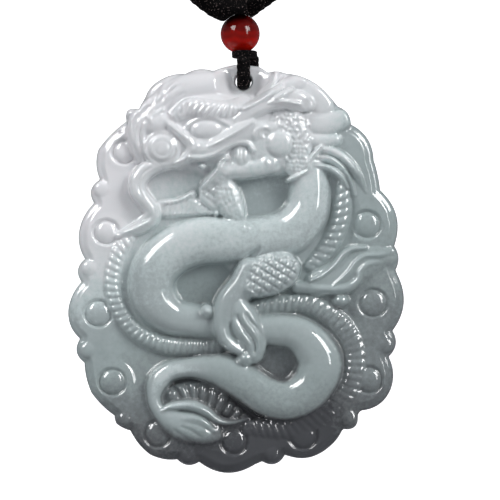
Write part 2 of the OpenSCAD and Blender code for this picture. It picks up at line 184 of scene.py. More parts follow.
# %% The wire class
class Wire:
    """A shader socket that can be added, multiplied and passed to other nodes."""

    def __init__(self, tree, socket=None):
        self.tree, self.socket = tree, socket

    def add(self, kind, settings=(), values=(), out=0):
        """A new node: its settings, then its inputs' values or links. Gives its output out."""
        node = self.tree.nodes.new("ShaderNode" + kind)
        for name, value in dict(settings).items():
            if name == "stops":
                elements = node.color_ramp.elements
                elements.remove(elements[1])
                for place, colour in value:
                    stop = elements[0] if place == value[0][0] else elements.new(place)
                    stop.position, stop.color = place, (*colour, 1)
            else:
                setattr(node, name, value)
        for key, value in dict(values).items():
            if isinstance(value, Wire):
                self.tree.links.new(value.socket, node.inputs[key])
            else:
                node.inputs[key].default_value = value
        return Wire(self.tree, node.outputs[out])

    def math(self, operation, a, b=0.0):
        """One Math node. The operators below are its short forms."""
        return self.add("Math", {"operation": operation}, {0: a, 1: b})

    def __add__(self, other):
        return self.math("ADD", self, other)

    def __sub__(self, other):
        return self.math("SUBTRACT", self, other)

    def __rsub__(self, other):
        return self.math("SUBTRACT", other, self)

    def __mul__(self, other):
        return self.math("MULTIPLY", self, other)

    def __truediv__(self, other):
        return self.math("DIVIDE", self, other)

    __radd__ = __add__
    __rmul__ = __mul__

    def sine(self):
        """Sine of an angle in radians."""
        return self.math("SINE", self)

    def clamp(self):
        """The value kept between 0 and 1."""
        return self.add("Clamp", {}, {"Value": self})

    def place(self):
        """Object coordinates: where a point of the piece is, in metres."""
        return self.add("TexCoord", out=3)

    def parts(self):
        """The three parts of a vector."""
        node = self.add("SeparateXYZ", {}, {0: self}).socket.node
        return [Wire(self.tree, output) for output in node.outputs]

    def noise(self, scale, detail=2.0, **more):
        """Clouds at this place, about 1 / scale metres across: a Noise Texture of that detail."""
        return self.add("TexNoise", {}, {"Vector": self, "Scale": scale, "Detail": detail, **more})

    def mix(self, first, second):
        """A colour between two: first where this is 0, second where it is 1."""
        shade = [v if isinstance(v, Wire) else (*v, 1) for v in (first, second)]
        return self.add("Mix", {"data_type": "RGBA"}, {0: self, 6: shade[0], 7: shade[1]}, out=2)


print("wire operators ready")

# %% Material helpers
def new_material(name, colour):
    """A material with a Principled node. Gives the material, its node and a wire to start from."""
    material = bpy.data.materials.new(name)
    material.use_nodes = True
    material.diffuse_color = (*colour, 1)
    tree = material.node_tree
    return material, tree.nodes["Principled BSDF"], Wire(tree)


def feed(shader, **values):
    """Sets or links inputs of a Principled node. Each is named with _ in place of a space."""
    for key, value in values.items():
        socket = shader.inputs[key.replace("_", " ")]
        if isinstance(value, Wire):
            value.tree.links.new(value.socket, socket)
        else:
            socket.default_value = value


print("material helpers ready")

# %% [markdown]
# ## From arrays to meshes
#
# Each piece is a grid of points worked out as one numpy array. The helper below joins the points of a
# grid into four-sided faces, closes it round and at its ends if asked, and writes a UV map that runs
# round and along the piece, which the braid's fine threads follow.

# %% Mesh helpers
def add_mesh(name, points, faces, material, uv=None):
    """An object with that mesh, smooth shaded. Faces is a list of arrays of point numbers."""
    loops = np.concatenate([f.ravel() for f in faces]).astype(np.int32)
    sizes = np.concatenate([np.full(len(f), f.shape[1]) for f in faces]).astype(np.int32)
    starts = (np.cumsum(sizes) - sizes).astype(np.int32)
    mesh = bpy.data.meshes.new(name)
    mesh.vertices.add(len(points))
    mesh.vertices.foreach_set("co", np.ascontiguousarray(points, np.float32).ravel())
    mesh.loops.add(len(loops))
    mesh.loops.foreach_set("vertex_index", loops)
    mesh.polygons.add(len(sizes))
    mesh.polygons.foreach_set("loop_start", starts)
    mesh.update(calc_edges=True)
    mesh.validate()
    mesh.shade_smooth()
    if uv is not None:
        layer = mesh.uv_layers.new(name="UVMap")
        layer.uv.foreach_set("vector", np.ascontiguousarray(uv[loops], np.float32).ravel())
    mesh.materials.append(material)
    thing = bpy.data.objects.new(name, mesh)
    bpy.context.scene.collection.objects.link(thing)
    print(name, "has", sum(len(f) * (f.shape[1] - 2) for f in faces), "triangles")
    return thing


def tube_faces(rows, sides):
    """Faces of a closed tube of rings: ring i, side k joins the next ring and the next side."""
    i, k = np.meshgrid(np.arange(rows - 1), np.arange(sides), indexing="ij")
    a = (i * sides + k).ravel()
    b = (i * sides + (k + 1) % sides).ravel()
    return np.stack([a, b, b + sides, a + sides], 1)


def fan(ring, middle, flip=False):
    """Triangles from a ring of point numbers to one middle point."""
    tri = np.stack([ring, np.roll(ring, -1), np.full(len(ring), middle)], 1)
    return tri[:, ::-1] if flip else tri


def add_tube(name, rings, material, lengths):
    """A closed tube from (rings, sides, 3) points, with a point at the middle of each end."""
    rows, sides = rings.shape[:2]
    points = np.vstack([rings.reshape(-1, 3), rings[:1].mean(1), rings[-1:].mean(1)])
    faces = [
        tube_faces(rows, sides),
        fan(np.arange(sides), rows * sides, flip=True),
        fan(np.arange(sides) + (rows - 1) * sides, rows * sides + 1),
    ]
    turn = np.tile(np.abs(np.linspace(-1, 1, sides, endpoint=False)), rows)
    uv = np.stack([turn, np.repeat(lengths, sides)], 1)
    uv = np.vstack([uv, [[0.5, lengths[0]], [0.5, lengths[-1]]]])
    return add_mesh(name, points, faces, material, uv)


print("mesh helpers ready")

# %% [markdown]
# ## Smooth paths
#
# A cord follows a few chosen points. A Catmull-Rom curve goes through all of them: between b and c it is
# a cubic whose slopes at b and c run along a-c and b-d. The curve is then walked in even steps.

# %% Paths
def smooth(t):
    """From 0 to 1 with level ends: s^2 (3 - 2 s), s being t kept between 0 and 1."""
    s = np.clip(t, 0, 1)
    return s * s * (3 - 2 * s)


def spline(rows, parts):
    """A Catmull-Rom curve through rows of any width, with that many parts to each stretch."""
    p = np.array(rows, float)
    p = np.vstack([2 * p[0] - p[1], p, 2 * p[-1] - p[-2]])
    a, b, c, d = p[:-3, None], p[1:-2, None], p[2:-1, None], p[3:, None]
    t = (np.arange(parts) / parts)[None, :, None]
    q = 2 * b + (c - a) * t + (2 * a - 5 * b + 4 * c - d) * t**2 + (3 * b - a - 3 * c + d) * t**3
    return np.vstack([0.5 * q.reshape(-1, p.shape[1]), p[-2:-1]])


def walk(points, step):
    """The same curve in even steps, and the length run at each of them."""
    run = np.r_[0, np.cumsum(np.linalg.norm(np.diff(points[:, :3], axis=0), axis=1))]
    even = np.linspace(0, run[-1], max(2, int(round(run[-1] / step))) + 1)
    return np.stack([np.interp(even, run, column) for column in points.T], 1), even


def rings_along(path, radius, side_way, sides):
    """Rings across a path: centre + radius * (cos a * n + sin a * b), n square to the path."""
    t = np.gradient(path, axis=0)
    t /= np.linalg.norm(t, axis=1)[:, None]
    n = np.cross(t, side_way)
    n /= np.linalg.norm(n, axis=1)[:, None]
    b = np.cross(n, t)
    a = 2 * np.pi * np.arange(sides) / sides
    out = np.cos(a)[None, :, None] * n[:, None] + np.sin(a)[None, :, None] * b[:, None]
    return path[:, None] + np.broadcast_to(radius, (len(path), sides))[..., None] * out


print("paths ready")

# %% [markdown]
# ## The braid
#
# A round braid is two sets of yarns that wind round the cord in opposite ways and pass over and under
# each other. With u round the cord and s along it, the yarns of one set run along u + s and those of the
# other along u - s. Each lozenge between them shows the yarn that lies on top there, so the
# radius is raised by the round section of that yarn.

# %% Braid
def braid_height(turn, length, yarns, pitch):
    """Height of the braid, 0 to 1: |sin| of the top yarn's phase to a power, times its own swell."""
    a = turn * yarns + length / pitch
    b = turn * yarns - length / pitch
    over = (np.floor(a) + np.floor(b)) % 2 == 0
    across = np.where(over, np.abs(np.sin(np.pi * a)), np.abs(np.sin(np.pi * b)))
    along = np.where(over, np.abs(np.sin(np.pi * b)), np.abs(np.sin(np.pi * a)))
    return across**0.5 * (0.55 + 0.45 * along**0.7)


def braided_cord(name, path, radii, side_way, material, sides, step, yarns, pitch, depth, clear=None):
    """A cord with a raised braid: radius * (1 - depth + depth * height of the braid).

    Clear = (middle, radius, eye) is a cone from the eye round a ball. Points inside it are moved out
    to it, where the cord is pressed on the bead.
    """
    even, run = walk(np.column_stack([path, radii]), step)
    turn, length = np.meshgrid(np.arange(sides) / sides, run)
    height = braid_height(turn, length, yarns, pitch)
    radius = even[:, 3:] * (1 - depth + depth * height)
    rings = rings_along(even[:, :3], radius, side_way, sides)
    if clear:
        middle, ball, eye = clear
        nearer = (rings[..., 1:2] - middle[1]) / (eye[1] - middle[1])
        out = (rings - middle - (eye - middle) * nearer) * (1, 0, 1)
        far = np.linalg.norm(out, axis=2, keepdims=True)
        rings = rings + out * np.maximum(0, ball * (1 - nearer) / far - 1)
    print(name, "is", round(run[-1] * 1000, 1), "mm long")
    return add_tube(name, rings, material, run * 1000)


print("braid height at a crossing:", round(float(braid_height(0.25, 0.25, 2, 1)), 2))

# %% [markdown]
# The cord is black and matt, with a faint sheen where its threads catch the light. Its finest
# threads are too small for the mesh, so a bump does them: sine waves across the UV map, along the two
# ways that the yarns run. Light specks on the threads are painted highlights.

# %% Cord material
THREADS_ROUND = 90
THREADS_PER_MM = 9
# The lighter colour and the noise level it starts from are painted highlights on the threads.
GLINT_FROM = 0.61
CORD_DARK, CORD_GLINT = (0.0025, 0.0022, 0.0025), (0.26, 0.2, 0.19)


def cord_material():
    """Nearly black fabric: fine threads from waves on the UV map, and painted highlights as light specks on
    them.
    """
    material, shader, wire = new_material("braided_cord", (0.02, 0.02, 0.022))
    turn, run, _ = wire.add("UVMap", {"uv_map": "UVMap"}).parts()
    round_way, long_way = turn * THREADS_ROUND, run * THREADS_PER_MM
    threads = ((round_way + long_way).sine() * (round_way - long_way).sine()) * 0.5 + 0.5
    # Painted highlights: light specks where the noise is high, on the crests of the threads.
    glint = ((wire.place().noise(4200.0) - GLINT_FROM) * 12).clamp()
    colour = (glint * threads).mix(CORD_DARK, CORD_GLINT)
    bump = wire.add("Bump", {}, {"Height": threads, "Distance": 0.05 * MM, "Strength": 0.6})
    feed(shader, Base_Color=colour, Roughness=0.5, Normal=bump, Specular_IOR_Level=0.03)
    return material


cord_black = cord_material()

# %% [markdown]
# ## The neck cord
#
# The picture shows two thick strands that leave the bead and spread. The whole cord is one loop that
# goes over the neck, so its route is the CAD model's: chosen points, in millimetres from the bead.

# %% Neck cord
NECK_LEFT = [
    [1, -1.85, 3.8], [-0.2, -1.85, 3.7], [-1.5, -1.85, 3.7], [-2.8, -1.75, 3.95], [-4, -1.6, 4.7],
    [-5.6, -1.3, 5.95], [-9.4, -0.6, 9.4], [-16, 0, 16], [-26, 0, 30],
]
# Columns: how far to either side, height.
NECK_SIDES = [
    [37, 51], [48, 78], [58, 109], [66, 141], [71, 174], [72, 196], [70, 215], [63, 233], [52, 248],
    [37, 259], [19, 266],
]
NECK_TOP = 268
NECK_RIGHT = [
    [26, 0, 31], [16, 0, 18.6], [8.8, 0.6, 10.9], [5.3, 1.3, 7.6], [3.5, 1.6, 6.25], [2.1, 1.8, 5.2],
    [1.1, 1.85, 4.15], [0.3, 1.85, 3.3],
]
NECK_ROUTE = (
    NECK_LEFT + [[-x, 0, z] for x, z in NECK_SIDES] + [[0, 0, NECK_TOP]]
    + [[x, 0, z] for x, z in NECK_SIDES[::-1]] + NECK_RIGHT
)
CORD_D = 4.2 * MM
END_SHARE = 0.8
BEAD_AT = np.array([-0.5, 0, -265.9]) * MM
BEAD_D = 5.8 * MM
SWELL = 2.5
SEAT = 0.02 * MM


def neck_cord():
    """The loop: a share of its thickness at both ends, and full after the stretches of its swell."""
    parts = 12
    path = spline(np.array(NECK_ROUTE) * MM + BEAD_AT, parts)
    from_end = np.minimum(np.arange(len(path)), np.arange(len(path))[::-1])
    radii = CORD_D / 2 * (END_SHARE + (1 - END_SHARE) * smooth(from_end / (parts * SWELL)))
    return braided_cord(
        "neck_cord_braid", path, radii, (0, 1, 0), cord_black,
        sides=40, step=0.34 * MM, yarns=10, pitch=1.35 * MM, depth=0.13,
        clear=(BEAD_AT, BEAD_D / 2 + SEAT, np.array(camera.location)),
    )


cord = neck_cord()
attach(cord, "cord")
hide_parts("neck_cord")

# %% [markdown]
# ## Loop, knot and thread
#
# The thin loop is the same kind of cord at half the size. It comes down from the knot in front of the
# plaque, turns through the hole and goes up again behind it, a little to the right. The knot is the
# same cord wound round both strands, under the bead.

# %% Loop
LOOP_D = 2.0 * MM
STRAND_Y = 2.92 * MM
KNOT_RISE = 3.35 * MM
KNOT_H = 1.1 * MM
LEAN = 1.3 * MM
TUCK = 0.45 * MM
AXIS = np.array([0, 0, HINGE_Z])


def hanging_loop():
    """The loop's route: up from the hole on both sides, and in under the knot at the top.

    Columns of its rows: how far in from the strand, height, share of the lean. The front strand has
    none of the lean, and is the same rows turned round.
    """
    d, lift = LOOP_D, KNOT_RISE + 0.3 * MM
    rows = np.array([
        [STRAND_Y - FACE + d / 4, 0, 0], [0.57 * d, -0.08 * d, 0], [0.3 * d, -0.25 * d, 0],
        [0.07 * d, -0.15 * d, 0], [0, 0.2 * d, 0.2], [0, d, 0.9], [0, 1.4 * d, 1], [TUCK, 1.6 * d, 1],
        [TUCK, lift, 1],
    ])
    front = np.column_stack([0 * rows[:, 2], rows[:, 0] - STRAND_Y, rows[:, 1]])[::-1]
    back = np.column_stack([rows[:, 2] * LEAN, STRAND_Y - rows[:, 0], rows[:, 1]])
    path = spline(np.vstack([front, back]) + AXIS, 10)
    radii = np.full(len(path), LOOP_D / 2)
    return braided_cord(
        "hanging_loop_braid", path, radii, (1, 0, 0), cord_black,
        sides=36, step=0.12 * MM, yarns=6, pitch=0.95 * MM, depth=0.12,
    )


loop = hanging_loop()
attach(loop, "cord")
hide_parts("hanging_loop")

# %% Knot and thread
KNOT_W = 3.8 * MM
KNOT_DEPTH = 2 * (STRAND_Y - TUCK + LOOP_D / 2)
KNOT_SHIFT = 0.15 * MM
KNOT_ROUND = 0.35 * MM


def collar_knot():
    """Two turns of cord round both strands: an oval drum, drawn in between the turns, braided all over.

    Share of its full size: round ends * (1 - 0.14 * a narrow bell between the turns) * braid. Its top
    is pressed in by the bead: no point is higher than the bead's underside.
    """
    turns, rows = 160, 36
    a, v = np.meshgrid(2 * np.pi * np.arange(turns) / turns, np.linspace(0, 1, rows))
    edge = np.clip(np.minimum(v, 1 - v) / 0.3, 0, 1)
    round_off = np.sqrt(1 - (1 - edge) ** 2)
    drawn = 1 - 0.14 * np.exp(-(((v - 0.5 - 0.12 * np.cos(a)) / 0.1) ** 2))
    braid = braid_height(a / (2 * np.pi), (v - 0.5) * 2, 18, 0.5)
    share = round_off * drawn * (0.95 + 0.07 * braid)
    cap = np.where(v * (1 - v) > 0, 1, 0.01)
    x = KNOT_SHIFT + (KNOT_W / 2 - KNOT_ROUND * (1 - share)) * np.cos(a) * cap
    y = (KNOT_DEPTH / 2 - KNOT_ROUND * (1 - share)) * np.sin(a) * cap
    z = HINGE_Z + KNOT_RISE + KNOT_H * v
    far = np.hypot(x - BEAD_AT[0], y)
    seat = BEAD_AT[2] - np.sqrt(np.maximum((BEAD_D / 2 + SEAT) ** 2 - far**2, 0))
    z = np.where(far < BEAD_D / 2, np.minimum(z, seat), z)
    return add_tube("collar_knot_wound", np.stack([x, y, z], 2), cord_black, 6 * v[:, 0])


knot = collar_knot()
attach(knot, "cord")
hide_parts("collar_knot")

frame["nodes"]["bead_thread"].data.materials.clear()
frame["nodes"]["bead_thread"].data.materials.append(cord_black)

# %% [markdown]
# ## The agate bead
#
# The bead is turned and polished agate in red bands. Its red is painted darker above, as painted shade,
# and brighter below, as painted light that comes through the stone. Its CAD solid is a true ball with a
# true bore, so it keeps its shape. We make a smoother one from a profile: half a circle that turns in at
# the bore, carried round the axis.

# %% Bead
BORE_R = 0.86 * MM
BORE_SOFT = 0.12 * MM
BAND_WAVES = 5200


def agate_material():
    """Agate: bands from a wave bent by noise, between dark and bright red, under a hard polish.

    Painted shade darkens the top and painted light brightens the bottom.
    """
    material, shader, wire = new_material("agate", (0.26, 0.05, 0.03))
    place = wire.place()
    up = place.parts()[2]
    # Height: painted shade at the top of the bead and painted light at the bottom, through the ramp.
    height = ((up - (BEAD_AT[2] - BEAD_D / 2)) / BEAD_D).clamp()
    clouds = place.noise(420.0, 4.0)
    bands = ((up * BAND_WAVES + clouds * 9).sine() * 0.5 + 0.5) * 0.3
    shade = (height * 0.9 + bands * 0.4 + clouds * 0.25 - 0.12).clamp()
    colour = shade.add("ValToRGB", {"stops": [
        (0.0, (0.78, 0.014, 0.003)), (0.3, (0.4, 0.007, 0.003)), (0.6, (0.17, 0.005, 0.003)),
        (1.0, (0.05, 0.003, 0.004)),
    ]}, {0: shade})
    feed(
        shader, Base_Color=colour, Roughness=0.06, IOR=1.54, Specular_IOR_Level=0.28, Subsurface_Weight=0.7,
        Subsurface_Scale=1.5 * MM, Subsurface_Radius=(1.0, 0.12, 0.06),
    )
    return material


def agate_bead():
    """A ball round its bore. Profile: radius * (cos a, sin a) for the outside, then down the bore.

    The last ring joins the first one, so its point numbers start again from 0.
    """
    half = np.arccos(BORE_R / (BEAD_D / 2))
    a = np.linspace(-half, half, 49)
    soft = BORE_SOFT
    top = BEAD_D / 2 * np.sin(half)
    bore = np.linspace(top - 2 * soft, -top + 2 * soft, 5)
    r = np.r_[BEAD_D / 2 * np.cos(a), BORE_R - soft * 0.4, 0 * bore + BORE_R, BORE_R - soft * 0.4]
    z = np.r_[BEAD_D / 2 * np.sin(a), top - soft * 0.5, bore, soft * 0.5 - top]
    rows, sides = len(r), 72
    turn = 2 * np.pi * np.arange(sides) / sides
    x, y = r[:, None] * np.cos(turn), r[:, None] * np.sin(turn)
    points = np.stack([x, y, np.broadcast_to(z[:, None], x.shape)], 2).reshape(-1, 3) + BEAD_AT
    faces = tube_faces(rows + 1, sides) % (rows * sides)
    return add_mesh("agate_bead_turned", points, [faces], agate_material())


bead = agate_bead()
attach(bead, "cord")
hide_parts("agate_bead")

# %% [markdown]
# ## The carver's tools
#
# The whole front is one height: a level from 0 at the rim's face to 1, for each place of a fine
# raster laid over the drawing grid. Sculpting by hand would do it too, but a height worked out from
# chosen paths can be read and changed. First come the raster, a rule for how a form is left standing on
# what is there, and two measures: how far a place is from a path, and how far from the edge. Each tool
# works only in its own window of the raster.

# %% Raster and measures
RASTER = 0.5
LEFT, TOP = 60.0, 56.0
COLUMNS, ROWS = 704, 840
PATH_PARTS = 6


def turned(x, y, turn):
    """x and y along axes turned by that many degrees."""
    a = np.radians(turn)
    return x * np.cos(a) + y * np.sin(a), y * np.cos(a) - x * np.sin(a)


class Raster:
    """The stone's front as levels on a raster."""

    def __init__(self):
        self.x, self.y = np.meshgrid(LEFT + RASTER * np.arange(COLUMNS), TOP + RASTER * np.arange(ROWS))
        self.level = np.zeros_like(self.x)

    def window(self, x, y, reach):
        """The part of the raster within reach of some places."""
        ends = []
        for at, start, count in ((y, TOP, ROWS), (x, LEFT, COLUMNS)):
            first, last = (np.min(at) - reach - start) / RASTER, (np.max(at) + reach - start) / RASTER + 2
            ends.append(slice(*np.clip([first, last], 0, count).astype(int)))
        return tuple(ends)

    def leave(self, part, height, inside, blend=0.015):
        """Leaves a form standing where it is higher, rounded over where it meets the stone."""
        old = self.level[part]
        over = np.clip(blend - np.abs(old - height), 0, None) ** 2 / (4 * blend)
        self.level[part] = np.where(inside, np.maximum(old, height) + over, old)

    def follow(self, rows):
        """Nearest place on a path with rows x, y, half width, crest.

        Gives the window, five arrays (share of the half width, the same with a side's sign, length
        run, crest, half width) and the whole length.
        """
        p = spline(rows, PATH_PARTS)
        found = np.full((5, ROWS, COLUMNS), 9.0)
        run = 0.0
        for a, b in zip(p[:-1], p[1:]):
            part = self.window([a[0], b[0]], [a[1], b[1]], 1.2 * max(a[2], b[2]))
            dx, dy = b[:2] - a[:2]
            length = np.hypot(dx, dy)
            px, py = self.x[part] - a[0], self.y[part] - a[1]
            t = np.clip((px * dx + py * dy) / length**2, 0, 1)
            half = a[2] + (b[2] - a[2]) * t
            ex, ey = px - dx * t, py - dy * t
            share = np.hypot(ex, ey) / half
            here = np.stack([
                share, np.copysign(share, dx * ey - dy * ex), run + t * length,
                a[3] + (b[3] - a[3]) * t, half,
            ])
            place = (slice(None), *part)
            found[place] = np.where(share < found[place][0], here, found[place])
            run += length
        part = self.window(p[:, 0], p[:, 1], p[:, 2].max())
        return part, found[(slice(None), *part)], run

    def edge(self, points, reach):
        """Distance from a closed outline, no more than reach."""
        best = np.full(self.x.shape, float(reach) ** 2)
        for a, b in zip(points, np.roll(points, -1, axis=0)):
            part = self.window([a[0], b[0]], [a[1], b[1]], reach)
            px, py = self.x[part] - a[0], self.y[part] - a[1]
            dx, dy = b - a
            t = np.clip((px * dx + py * dy) / (dx * dx + dy * dy), 0, 1)
            best[part] = np.minimum(best[part], (px - dx * t) ** 2 + (py - dy * t) ** 2)
        return np.sqrt(best)


print("raster of", COLUMNS, "by", ROWS, "places, one every", RASTER, "steps")

# %% [markdown]
# Two tools leave a form standing. A strand has a round section along its path, and can be ribbed across
# or combed along. A mound is an oval dome.

# %% Tools that leave a form
class Forms(Raster):
    """The tools that leave a form standing."""

    def strand(self, rows, foot=0.0, square=2.0, soft=0.5, lean=0.0, blend=0.015, ribs=None, hairs=None):
        """Leaves a strand: foot + (crest - foot) * (1 - u^square)^soft.

        u is 0 at the crest, which leans to one side, and 1 at both edges. Ribs are (count, bunching
        at the start, slant at the start and the end, depth), and hairs (count, depth).
        """
        part, (share, side, run, crest, half), total = self.follow(rows)
        u = np.where(side < lean, (lean - side) / (1 + lean), (side - lean) / (1 - lean))
        height = foot + (crest - foot) * np.clip(1 - np.clip(u, 0, 1) ** square, 0, 1) ** soft
        if ribs:
            count, bunch, slant_a, slant_b, depth = ribs
            t = run / total
            slant = slant_a + (slant_b - slant_a) * t
            phase = count * (t + bunch * t * (1 - t) + slant * side * half / total)
            height -= depth * (1 - np.abs(np.sin(np.pi * phase)) ** 0.7) * np.clip(4 - 4 * share, 0, 1)
        if hairs:
            count, depth = hairs
            height -= depth * (1 - np.abs(np.sin(np.pi * (side * 0.5 + 0.5) * count)) ** 0.8)
        self.leave(part, height, share < 1, blend)

    def mound(self, x, y, half_w, half_h, top, foot=0.0, turn=0.0, square=2.0, blend=0.015):
        """Leaves an oval dome: foot + (top - foot) * (1 - d^square)^(1/2), d = 1 at its edge."""
        part = self.window(x, y, max(half_w, half_h))
        u, v = turned(self.x[part] - x, self.y[part] - y, turn)
        d = np.hypot(u / half_w, v / half_h)
        self.leave(part, foot + (top - foot) * np.sqrt(np.clip(1 - d**square, 0, 1)), d < 1, blend)


print("form tools:", [name for name in vars(Forms) if name[0] != "_"])

# %% [markdown]
# The other tools cut: a hollow with a floor, a thin groove along a line or round a ring, and a field of
# fine bumps. With a depth below 0, a line leaves a raised thread instead.

# %% Tools that cut
GROOVE_REACH = 2.4


def shaken(column, row, a, b):
    """A share from 0 to 1 that looks random in each cell: the fraction of a large number * sine."""
    return np.sin(column * a + row * b) * 43758.5453 % 1


class Carving(Forms):
    """The stone's front with all its tools."""

    def hollow(self, x, y, half_w, half_h, floor, wall=0.2, turn=0.0, square=2.6):
        """Sinks a rounded-square oval to its floor, with a smooth wall inside its edge."""
        part = self.window(x, y, max(half_w, half_h))
        u, v = turned(self.x[part] - x, self.y[part] - y, turn)
        d = (np.abs(u / half_w) ** square + np.abs(v / half_h) ** square) ** (1 / square)
        level = self.level[part]
        sunk = np.minimum(level, floor + (level - floor) * smooth((d - 1 + wall) / wall))
        self.level[part] = np.where(d < 1, sunk, level)

    def line(self, points, width, depth, taper=0.25):
        """Cuts a groove: depth * exp(-(d / width)^2), fading at both ends. Below 0 it leaves a thread."""
        rows = [[*p, GROOVE_REACH * width, 1.0] for p in points]
        part, (share, _, run, _, _), total = self.follow(rows)
        fade = np.clip(np.minimum(run, total - run) / (taper * total), 0, 1) ** 0.5
        self.level[part] -= np.where(share < 1, depth * fade * np.exp(-((GROOVE_REACH * share) ** 2)), 0)

    def lines(self, group, width, depth, taper=0.25):
        """Cuts each line of a group with the same tool."""
        for points in group:
            self.line(points, width, depth, taper)

    def ring(self, x, y, radius, width, depth, middle=0.0, spread=200.0):
        """Cuts a round groove, or the arc of it within spread degrees of its middle direction."""
        part = self.window(x, y, radius + 3 * width)
        dx, dy = self.x[part] - x, self.y[part] - y
        away = np.abs((np.degrees(np.arctan2(dy, dx)) - middle + 180) % 360 - 180)
        cut = np.exp(-(((np.hypot(dx, dy) - radius) / width) ** 2)) * smooth((spread - away) / 15)
        self.level[part] -= depth * cut

    def stipple(self, rows, pitch, height, long=1.0, turn=0.0):
        """Small bumps on a shaken grid over the place of a strand: height * (1 - (d / half pitch)^2)."""
        part, (share, *_), _ = self.follow(rows)
        u, v = turned(self.x[part], self.y[part], turn)
        u = u / long
        best = np.full(u.shape, 9.0)
        for i in (-1, 0, 1):
            for j in (-1, 0, 1):
                column, row = np.floor(u / pitch) + i, np.floor(v / pitch) + j
                far_u = (column + shaken(column, row, 127.1, 311.7)) * pitch - u
                far_v = (row + shaken(column, row, 269.5, 183.3)) * pitch - v
                best = np.minimum(best, np.hypot(far_u, far_v) / pitch)
        bumps = np.clip(1 - (best / 0.5) ** 2, 0, 1)
        self.level[part] += height * bumps * smooth((1 - share) / 0.2)


carving = Carving()
print("the raster covers", round(COLUMNS * RASTER * STEP_X / MM, 1), "mm across")

# %% [markdown]
# ## The border
#
# The outline is a chain of arcs, as in the CAD model: corners, and how far each arc bulges. From the
# edge the border rises over a round shoulder and sinks again towards the dragon. Cloud pearls lie
# in it, each a flat dome in a round groove.

# %% Border
OUTLINE = [
    [213, 70.5, 0.23], [185, 73.5, 0.16], [160, 79.5, 0.2], [145, 97, 0.05], [139, 109.5, 0.8],
    [126, 121, 0.08], [98, 149, 0.19], [99.5, 179.5, 0.5], [93.5, 203, 0.15], [79, 229, 0.2],
    [84.5, 259, 0.46], [81, 282, 0.15], [68, 308, 0.26], [79.5, 339, 0.46], [84, 363, 0.1],
    [91, 393, 0.09], [114, 416, 0.1], [116, 424, 0.12], [130, 431, 0.12], [150, 455, 0.16],
    [177, 460, 0.4], [199, 462.5, 0.35], [255, 465, 0.02], [262, 462, 0.5], [285, 455.5, 0.3],
    [330, 447, 0.12], [343, 429.5, 0.65], [358, 415, 0.02], [361, 411, 0.3], [391, 390, 0.22],
    [389, 357, 0.4], [393, 331, 0.31], [398, 275, 0.02], [396, 270, 0.3], [394.7, 246, 0.33],
    [380.5, 190, 0.06], [374, 160, 0.3], [351, 124, 0.33], [338, 106, 0.03], [322, 88.5, 0.1],
    [304, 77.5, 0.08], [286, 73, 0.15], [268, 72, 0.02], [259, 66, 0.02], [237, 64, 0.08],
]
# Columns: x, y, radius.
PEARLS = [
    [124, 152, 11], [106, 232, 11.5], [98, 313.5, 12.5], [112, 382, 12.5], [157.5, 434, 12.5],
    [234, 441, 12.5], [303, 435, 13.5], [369, 380, 12.5], [373, 303, 13.3], [367, 224.5, 12.8],
]
# Columns: x, y, size.
BUMPS = [
    [101, 189, 6], [89, 268, 6], [87, 350, 6], [124, 419, 5], [188, 456, 6], [273, 455, 6], [350, 419, 6],
    [386, 345, 6], [388, 258, 6],
]
EDGE_REACH = 48
SHOULDER_W = 5


def outline_points(parts):
    """Points on the arcs: the chord, and out from it by bulge * half chord * (1 - (2 t - 1)^2)."""
    corner = np.array(OUTLINE)[:, :2]
    bulge = np.array(OUTLINE)[:, 2, None]
    half = (np.roll(corner, -1, axis=0) - corner) / 2
    out = np.stack([half[:, 1], -half[:, 0]], 1)[:, None]
    t = np.arange(parts) / parts
    lift = (bulge * (1 - (2 * t - 1) ** 2))[..., None]
    return (corner[:, None] + 2 * half[:, None] * t[:, None] - out * lift).reshape(-1, 2)


def carve_border(stone):
    """A round shoulder, a low step up and a slope down to the dragon, then the bumps and pearls.

    Shoulder: sqrt(1 - (1 - e / width)^2), e being the distance from the edge.
    """
    e = stone.edge(outline_points(8), EDGE_REACH)
    shoulder = np.sqrt(1 - (1 - np.clip(e / SHOULDER_W, 0, 1)) ** 2)
    step = np.clip((e - 4.6) / 4.2, 0, 1)
    stone.level[:] = 0.04 + 0.17 * shoulder + 0.08 * step - 0.1 * smooth((e - 24) / 24)
    for x, y, size in BUMPS:
        stone.mound(x, y, size + 2, size + 2, 0.34, 0.22, blend=0.06)
    for x, y, r in PEARLS:
        stone.mound(x, y, r + 11, r + 11, 0.315, 0.16, blend=0.08)
        stone.hollow(x, y, r + 3.2, r + 3.2, 0.21, wall=0.22, square=2)
        stone.mound(x, y, r - 0.4, r - 0.4, 0.35, 0.22, blend=0.01)


carve_border(carving)
print("border up to", round(float(carving.level.max()), 2))

# %% [markdown]
# ## Hollows and combs
#
# The coils enclose sunk floors. The back fin is a comb, soft ribs across a band on the coil's outer side,
# which get closer and lean over as the band turns. Here and below, the rows of a strand are x, y, half
# width and crest. After them come its foot, how square its section is and how soft, and after the
# points of a line its width, its depth and the share of it that fades.

# %% Hollows and combs
# Columns: x, y, half width, half height, floor, share of the wall.
HOLLOWS = [
    [266, 197, 36, 30, 0.02, 0.25], [201, 284, 40, 30, 0.02, 0.25], [276, 365, 30, 26, 0.2, 0.35],
    [172, 187, 40, 24, 0.08, 0.25], [205, 395, 48, 24, 0.0, 0.2], [242, 413, 26, 11, 0.02, 0.2],
    [337, 222, 24, 44, 0.14, 0.5],
]
COMB_LEFT = [
    [128, 238, 7, 0.38], [117, 256, 8.5, 0.42], [112, 281, 9, 0.42], [117, 306, 9, 0.42],
    [131, 327, 9, 0.42], [150, 340, 9.5, 0.42], [172, 346, 9.5, 0.42], [216, 347, 8, 0.4],
]
COMB_NECK = [
    [343, 184, 7, 0.38], [343, 203, 9, 0.4], [340, 222, 9.5, 0.4], [333, 239, 9.5, 0.4],
    [324, 252, 9, 0.38], [311, 265, 7, 0.36],
]
